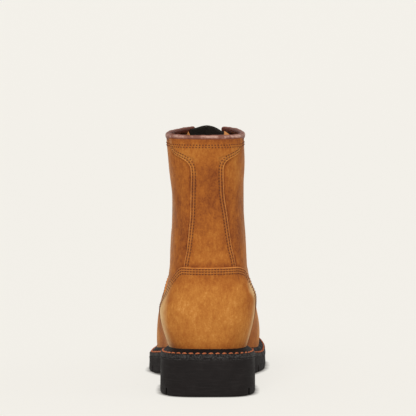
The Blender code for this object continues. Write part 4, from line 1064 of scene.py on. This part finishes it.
def stitch_points(line, out, thread):
    """One short rounded thread for each pitch along a seam, its ends sunk in the leather."""
    run = run_length(line)
    count = max(int(run[-1] / thread.pitch), 1)
    at = (np.arange(count) + 0.5) * run[-1] / count
    place, up = along_line(at, run, line), along_line(at, run, out)
    way = unit(along_line(at + 0.5, run, line) - place)
    way = unit(way + thread.slant * np.cross(up, way))
    aside = np.cross(up, way)
    q, angle = np.linspace(-1, 1, len(THREAD_PROFILE))[:, None], circle(THREAD_SIDES)
    thick = thread.radius * THREAD_PROFILE[:, None]
    x = np.repeat(q * thread.length / 2, THREAD_SIDES)
    y = (thick * np.cos(angle)).ravel()
    z = (thick * np.sin(angle) + thread.radius * (THREAD_RISE - THREAD_SINK * q ** 2)).ravel()
    return place[:, None] + sum(a[None, :, None] * b[:, None] for a, b in ((x, way), (y, aside), (z, up)))


def make_stitches(name, groups, look):
    """All threads of one colour as one piece."""
    points = np.concatenate(groups)
    one = grid_faces(len(THREAD_PROFILE), THREAD_SIDES, closed=True)
    faces = (one[None] + (np.arange(len(points)) * points.shape[1])[:, None, None]).reshape(-1, 4)
    make_piece(name, points, faces, [look])


def stitch_row(side, u, t, height):
    """Threads along a line on the creased leather at a height above the form."""
    base, out = FORM.spot(side, u, t)
    height = height + crease_depth(base, out, side)
    return stitch_points(base + out * height[..., None], out, UPPER_THREAD)


def vamp_rows(side):
    """Rows along the vamp's top edge and down its rear seam on one side."""
    for distance in VAMP_SEAMS:
        t = ridge_at(-VAMP_DROP - distance)
        girth = np.linspace(0, float(vamp_line(t)) - 2 * distance, VAMP_TOP_POINTS)
        yield stitch_row(side, 1 - girth / FORM.girth(side, t), t, VAMP_LIFT)
        run = np.linspace(-VAMP_DROP - distance, VAMP_ROW_FOOT - FOOT_RUNS[-1], VAMP_SIDE_POINTS)
        t = ridge_at(run)
        reach = vamp_line(t)
        tilt = np.sqrt(1 + np.gradient(reach, -run) ** 2)
        yield stitch_row(side, 1 - (reach - distance * tilt) / FORM.girth(side, t), t, VAMP_LIFT)


def shaft_rows(side):
    """Rows of the counter, backstay, collar and throat on one side."""
    girth = np.linspace(0, COUNTER_ROW_REACH, ROW_POINTS)
    top, slope = counter_top(side, girth)
    tilt = np.sqrt(1 + slope ** 2)
    for distance in COUNTER_SEAMS:
        place, z = np.maximum(girth + distance * slope / tilt, 0), top - distance / tilt
        yield stitch_row(side, *FORM.find(side, place, z), COUNTER_LIFT + over_backstay(place, z))
    z = np.linspace(BACKSTAY_ROW_FOOT, COLLAR_HEIGHT, ROW_POINTS)
    half = backstay_half(side, z)
    slope = np.gradient(half, z)
    tilt = np.sqrt(1 + slope ** 2)
    for distance in BACKSTAY_SEAMS:
        place, high = half - distance / tilt, z + distance * slope / tilt
        keep = high < COLLAR_HEIGHT - COLLAR_SEAMS[1]
        yield stitch_row(side, *FORM.find(side, place[keep], high[keep]), BACKSTAY_LIFT)
    for distance in COLLAR_SEAMS:
        z = COLLAR_HEIGHT - distance
        panel = float(backstay_half(side, z))
        level = float(FORM.find(side, panel, z)[1])
        full = float(FORM.girth(side, level) - throat_gap(level)) - COLLAR_ROW_STOP
        parts = ((0.0, panel - PANEL_CLEAR, BACKSTAY_LIFT), (panel + PANEL_CLEAR, full, 0.0))
        for low, high, height in parts:
            yield stitch_row(side, *FORM.find(side, np.linspace(low, high, ROW_POINTS), z), height)
    for distance in THROAT_SEAMS:
        t = ridge_at(np.linspace(THROAT_ROW_FOOT, THROAT_RUN - THROAT_ROW_STOP, ROW_POINTS))
        yield stitch_row(side, 1 - (throat_gap(t) + distance) / FORM.girth(side, t), t, 0.0)


def make_upper_stitches():
    """All stitches in the leather."""
    groups = [row for rows in (vamp_rows, shaft_rows) for side in BOTH for row in rows(side)]
    make_stitches("upper_stitches", groups, "thread")


# Sole: each loop's inset from the edge, its height from the slab's top or underside, and its crumbs
SlabLoop = namedtuple("SlabLoop", "inset from_top height crumbs")
OUTSOLE_LOOPS = rows_of(
    SlabLoop,
    (0.7, True, 0, 0.8), (0.1, True, -0.05, 0.8), (-0.3, True, -0.4, 0.6), (-0.3, True, -0.9, 0.4),
    (0.0, True, -1.3, 0.1), (0.0, True, -4, 0), (-0.3, False, 2.0, 0), (-0.2, False, 1.2, 0),
    (0.2, False, 0.4, 0), (0.9, False, 0, 0),
)
MIDSOLE_LOOPS = rows_of(
    SlabLoop,
    (1.0, True, 0, 0.8), (0.15, True, 0, 0.8), (0.05, True, -0.6, 0.8), (0.1, False, 0.5, 0.8),
    (0.35, False, 0, 0.8), (1.0, False, 0, 0.6),
)
MIDSOLE_GAP = 0.2
SOLE_STATIONS, WELT_STATIONS = 96, 180
SOLE_CLOSER, LIP_CLOSER = 0.7, 0.5
BREAST_CLEAR = 1.5
CUTTER_REACH, CUTTER_DROP = 10.0, 5.0
GROOVE_NARROW, RECESS_NARROW = 0.6, 0.92
OUTSOLE_SHARP, MIDSOLE_SHARP = 32, 50  # degrees over which an edge is drawn sharp


def stations(count):
    """Distances along the sole, closer together at heel and toe."""
    return SOLE_LENGTH * closer_ends(count, SOLE_CLOSER)


def joined(lateral, medial):
    """A closed loop: the lateral side from heel to toe, then the medial side back."""
    return np.concatenate([lateral, medial[-2:0:-1]])


def loop_round(along, inset, height):
    """A closed loop at an inset from the sole's edge."""
    inside = np.clip(along, inset, SOLE_LENGTH - inset)
    edges = (s * half_width(SOLE_EDGE, s, inside, inset) + swing(inside) for s in BOTH)
    return joined(*(np.stack([x, inside - HALF_LENGTH, height], axis=1) for x in edges))


def make_slab(name, part, along, top, under, loops, sharp=None):
    """A closed slab with the sole's outline, between its top and its underside."""
    rings = [loop_round(along, loop.inset, (top if loop.from_top else under) + loop.height) for loop in loops]
    rows, ring, count = len(rings), len(rings[0]), len(along)
    faces = [tuple(f) for f in grid_faces(rows, ring, closed=True)]
    for row, turn in ((0, 1), (rows - 1, -1)):
        start = row * ring
        for i in range(count - 1):
            left, ahead = start + i, start + i + 1
            right, right_ahead = start + (ring - i) % ring, start + ring - i - 1
            corners = [left, ahead, right_ahead, right] if i < count - 2 else [left, ahead, right]
            corners = [ahead, right_ahead, left] if i == 0 else corners
            faces.append(tuple(corners[::-turn]))
    crumbs = np.repeat([loop.crumbs for loop in loops], ring)
    return make_piece(name, np.stack(rings), faces, ["rubber"], [part], {"crumbs": crumbs},
                      sharp=sharp)


def tread_floor(along):
    """Height of the sole's underside."""
    breast = np.clip((along - HEEL_BREAST) / BREAST_RUN, 0, 1)
    under = smooth_through(SOLE_UNDER, np.maximum(along, HEEL_BREAST + BREAST_RUN))
    return np.where(along <= HEEL_BREAST, 0, under * breast)


def groove_cutter(x, along, floor, wide, long, degrees=0.0, narrow=GROOVE_NARROW):
    """A cutter for a groove as deep as the lugs, narrower at its top."""
    half = np.array([wide, long, LUG_DEPTH + CUTTER_REACH]) / 2
    corners = np.array([(x_way, y_way * (narrow if z_way > 0 else 1), z_way)
                        for x_way in (-1, 1) for y_way in (-1, 1) for z_way in (-1, 1)]) * half
    c, s = np.cos(np.radians(degrees)), np.sin(np.radians(degrees))
    place = np.array([x, along - HALF_LENGTH, floor + LUG_DEPTH / 2 - CUTTER_DROP])
    points = corners @ np.array([[c, s, 0], [-s, c, 0], [0, 0, 1]]) + place
    faces = [(0, 1, 3, 2), (4, 6, 7, 5), (0, 4, 5, 1), (2, 3, 7, 6), (0, 2, 6, 4), (1, 5, 7, 3)]
    mesh = bpy.data.meshes.new("groove")
    mesh.from_pydata((points * MM).tolist(), [], faces)
    return put_in_scene("groove", mesh)


def groove_cutters():
    """Cutters of the grooves at both edges, of those between them and of the heel's recess."""
    for side in BOTH:
        for along, degrees in HEEL_GROOVES + FOREPART_GROOVES:
            edge = side * half_width(SOLE_EDGE, side, along) + swing(along)
            floor = tread_floor(along)
            yield groove_cutter(edge, along, floor, 2 * GROOVE_REACH, GROOVE_WIDTH, degrees * side)
    for along in CENTRE_GROOVES:
        yield groove_cutter(swing(along), along, tread_floor(along), 2 * CENTRE_GROOVE_HALF, GROOVE_WIDTH)
    back, front, half = HEEL_RECESS
    yield groove_cutter(0, (back + front) / 2, 0, 2 * half, front - back, narrow=RECESS_NARROW)


def make_outsole():
    """The rubber sole with its heel and lugs, its grooves cut out of one slab."""
    along = stations(SOLE_STATIONS)
    keep = (along < HEEL_BREAST - BREAST_CLEAR) | (along > HEEL_BREAST + BREAST_RUN + BREAST_CLEAR)
    along = np.sort(np.concatenate([along[keep], [HEEL_BREAST, HEEL_BREAST + BREAST_RUN]]))
    top = smooth_through(SOLE_TOP, along) - MIDSOLE_THICKNESS - MIDSOLE_GAP
    piece = make_slab("outsole_lugs", "outsole", along, top, tread_floor(along), OUTSOLE_LOOPS)
    cutters = list(groove_cutters())
    for cutter in cutters:
        modifier = piece.modifiers.new("groove", "BOOLEAN")
        modifier.operation = "DIFFERENCE"
        modifier.solver = "EXACT"
        modifier.object = cutter
    piece.data = bpy.data.meshes.new_from_object(piece.evaluated_get(bpy.context.evaluated_depsgraph_get()))
    piece.modifiers.clear()
    for cutter in cutters:
        bpy.data.objects.remove(cutter)
    piece.data.shade_smooth()
    piece.data.set_sharp_from_angle(angle=np.radians(OUTSOLE_SHARP))


def make_midsole():
    """The thin layer between the outsole and the welt."""
    along = stations(SOLE_STATIONS)
    top = smooth_through(SOLE_TOP, along)
    make_slab("midsole_layer", "midsole", along, top, top - MIDSOLE_THICKNESS, MIDSOLE_LOOPS, MIDSOLE_SHARP)


# Welt: inset, rise and crumbs of its outer loops, share and dip of those across its slope, and lift and rise
# of those at its lip
WELT_RIM = ((0.15, -0.2, 0.8), (0.1, WELT_EDGE - 0.6, 0.8), (0.3, WELT_EDGE - 0.1, 0.8),
            (0.9, WELT_EDGE + 0.1, 0.5))
WELT_SLOPE = ((0.10, 0.1), (0.21, -0.35), (0.36, 0.1), (0.75, 0.35))
WELT_LIP_LOOPS = ((2.9, WELT_LIP - 0.5), (2.2, WELT_LIP), (0.0, WELT_LIP - 0.6))
WELT_SEAM_ROW = 5
WELT_SEAM_RISE = 0.35


def welt_loops():
    """Loops of the welt's surface from its outer foot over the edge to its lip."""
    along = stations(WELT_STATIONS)
    top = smooth_through(SOLE_TOP, along)
    rim = [loop_round(along, inset, top + rise) for inset, rise, _ in WELT_RIM]
    u = closer_ends(WELT_STATIONS, LIP_CLOSER)
    lip = []
    for lift, rise in WELT_LIP_LOOPS:
        levels = [FORM.climb(s, FORM.point(s, u, 0.0)[:, 2] + rise, lambda level: u) for s in BOTH]
        lip.append(joined(*(FORM.lifted(s, u, t, lift) for s, t in zip(BOTH, levels))))
    slope = [rim[-1] * (1 - q) + lip[0] * q + dip * UP for q, dip in WELT_SLOPE]
    return np.stack(rim + slope + lip)


def make_welt():
    """The welt and its stitches."""
    loops = welt_loops()
    rows, ring = loops.shape[:2]
    crumbs = np.zeros((rows, ring))
    crumbs[:len(WELT_RIM)] = np.array(WELT_RIM)[:, 2:]
    faces = grid_faces(rows, ring, closed=True)[:, ::-1]
    make_piece("welt_strip", loops, faces, ["welt"], ["welt"], {"crumbs": crumbs})
    seat = loops[WELT_SEAM_ROW]
    across = loops[WELT_SEAM_ROW + 1] - loops[WELT_SEAM_ROW - 1]
    up = np.cross(np.roll(seat, -1, axis=0) - np.roll(seat, 1, axis=0), across)
    up = unit(up * np.sign(up[:, 2:]))
    line, up = (np.concatenate([loop, loop[:1]]) for loop in (seat + up * WELT_SEAM_RISE, up))
    make_stitches("welt_stitches", [stitch_points(line, up, WELT_THREAD)], "welt_thread")


# Lacing: radius and height of each loop of an eyelet, from its bore outwards
EYELET_PROFILE = ((2.1, 0.25), (2.15, 0.9), (2.5, 1.2), (3.2, 1.3), (3.9, 1.1), (4.3, 0.65), (4.4, -0.4))
EYELET_SIDES, EYELET_SHARP = 28, 60
LACE_RADIUS, LACE_SIDES, LACE_POINTS = 1.9, 10, 61
LACE_START, LACE_LIFT, LACE_RAMP, LACE_OVER = -1.0, 4.0, 0.13, 2.2
EYELET_LEVELS = ridge_at(np.linspace(EYELET_FIRST, THROAT_RUN - EYELET_LAST, EYELET_PAIRS))


def eyelet_spot(side, t):
    """u of the eyelet at a level on one side."""
    return 1 - (throat_gap(t) + EYELET_INSET) / FORM.girth(side, t)


def make_eyelets():
    """Plain rolled rings, each bore closed by a dark disc that is painted shade standing in for the hole."""
    angle = circle(EYELET_SIDES)
    ring = grid_faces(len(EYELET_PROFILE), EYELET_SIDES, closed=True)
    points, faces, dark = [], [], []
    for side in BOTH:
        for t in EYELET_LEVELS:
            place, way = FORM.spot(side, eyelet_spot(side, t), t)
            aside = unit(np.cross(way, UP))
            spoke = np.cos(angle)[:, None] * aside + np.sin(angle)[:, None] * np.cross(aside, way)
            start = len(points) * len(EYELET_PROFILE) * EYELET_SIDES
            points.append(np.stack([place + spoke * r + way * h for r, h in EYELET_PROFILE]))
            faces += [*(tuple(f) for f in ring + start), tuple(range(start, start + EYELET_SIDES))]
            dark += [0] * len(ring) + [1]
    nodes = [f"eyelet_{name}_{k}" for name in SIDES for k in range(1, EYELET_PAIRS + 1)]
    piece = make_piece("eyelets", np.stack(points), faces, ["brass", "dark"], nodes,
                       sharp=EYELET_SHARP)
    piece.data.polygons.foreach_set("material_index", np.array(dark, np.int32))


def lace_points(start_side, start_t, end_t, arch):
    """Rings of a lace out of one eyelet, over the throat and into one on the other side."""
    share = np.linspace(0, 1, LACE_POINTS)
    t = start_t + (end_t - start_t) * share
    side = np.where(share < 0.5, start_side, -start_side)
    first, last = 1 - eyelet_spot(start_side, start_t), 1 - eyelet_spot(-start_side, end_t)
    u = 1 - np.where(share < 0.5, first * (1 - 2 * share), last * (2 * share - 1))
    raised = ease(np.minimum(share, 1 - share), 0, LACE_RAMP)
    lift = LACE_START + LACE_LIFT * raised + arch * np.sin(np.pi * share) ** 2
    base, out = FORM.spot(side, u, t)
    path = base + out * lift[:, None]
    way = unit(np.gradient(path, axis=0))
    over = unit(out - way * (out * way).sum(axis=1, keepdims=True))
    angle = circle(LACE_SIDES)[None, :, None]
    ring = np.cos(angle) * np.cross(way, over)[:, None] + np.sin(angle) * over[:, None]
    return path[:, None] + LACE_RADIUS * ring


def make_laces():
    """One bar across the lowest eyelets and a crossing above each pair, one strand over the other."""
    lowest = EYELET_LEVELS[0]
    points = [lace_points(LATERAL, lowest, lowest, 0.0)]
    for low, high in zip(EYELET_LEVELS[:-1], EYELET_LEVELS[1:]):
        points += [lace_points(LATERAL, low, high, 0.0), lace_points(MEDIAL, low, high, LACE_OVER)]
    one = grid_faces(LACE_POINTS, LACE_SIDES, closed=True)[:, ::-1]
    faces = np.concatenate([one + k * LACE_POINTS * LACE_SIDES for k in range(len(points))])
    nodes = ["lace_bar"] + [f"lace_cross_{k}" for k in range(1, EYELET_PAIRS)]
    make_piece("laces", np.stack(points), faces, ["lace"], nodes)


# Stage: the floor's colours, the even light and the suns, with strength, softness, tilt and turn in degrees

FLOOR_REACH, FLOOR_DROP = 60.0, 0.0002
FLOOR_SURFACE = {"Roughness": 0.9, "Specular IOR Level": 0.1, "Base Color": (0.10, 0.097, 0.091),
                 "Emission Strength": 0.772}
FLOOR_LIGHT, FLOOR_SHADE, SHADE_REACH = (1.0, 0.973, 0.91), (0.12, 0.11, 0.10), 5.0
SKY_COLOUR, SKY_STRENGTH = (1.0, 0.985, 0.96, 1), 0.64
Sun = namedtuple("Sun", "name strength softness tilt turn")
SUNS = rows_of(Sun, ("key", 1.69, 26, 50, -12), ("fill", 0.35, 40, 65, 86))
SENSOR_WIDTH, CLIP_END = 36.0, 200.0


def make_floor():
    """A pale floor that glows evenly, with a painted contact shadow close to the sole."""
    mesh = bpy.data.meshes.new("floor")
    corners = [(x * FLOOR_REACH, y * FLOOR_REACH, 0) for x, y in ((-1, -1), (1, -1), (1, 1), (-1, 1))]
    mesh.from_pydata(corners, [], [(0, 1, 2, 3)])
    paint = Shader("pale_floor", FLOOR_SURFACE)
    contact = paint.node("AmbientOcclusion", {"Distance": SHADE_REACH * MM}).outputs["AO"]
    glow = paint.mix(paint.math("POWER", contact, 2.0), FLOOR_SHADE, FLOOR_LIGHT)
    mesh.materials.append(paint.finished(Emission_Color=glow))
    floor = put_in_scene("floor", mesh)
    floor.location.z = -FLOOR_DROP


def make_stage():
    """The floor, even light from all round with two soft suns, and the photo's camera."""
    scene = bpy.context.scene
    scene.view_settings.view_transform = "Standard"
    make_floor()
    scene.world = bpy.data.worlds.new("studio")
    scene.world.use_nodes = True
    sky = scene.world.node_tree.nodes["Background"]
    sky.inputs["Color"].default_value = SKY_COLOUR
    sky.inputs["Strength"].default_value = SKY_STRENGTH
    for sun in SUNS:
        light = bpy.data.lights.new(sun.name, "SUN")
        light.energy = sun.strength
        light.angle = np.radians(sun.softness)
        put_in_scene(sun.name, light).rotation_euler = np.radians((sun.tilt, 0, sun.turn))
    lens = bpy.data.cameras.new("photo_camera")
    lens.lens = CAMERA_LENS
    lens.sensor_width = SENSOR_WIDTH
    lens.clip_end = CLIP_END
    camera = put_in_scene("photo_camera", lens)
    camera.location = (CAMERA_ASIDE * MM, -(CAMERA_DISTANCE + HALF_LENGTH) * MM, CAMERA_HEIGHT * MM)
    camera.rotation_euler = np.radians((90 - CAMERA_TILT, 0, 0))
    scene.camera = camera


make_stage()
for make in (make_skin, make_lining, make_counter, make_backstay, make_vamp, make_binding, make_tongue,
             make_gussets, make_upper_stitches, make_outsole, make_midsole, make_welt, make_eyelets,
             make_laces):
    make()
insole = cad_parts["insole"]
insole.data.materials.clear()
insole.data.materials.append(MATERIALS["insole"])
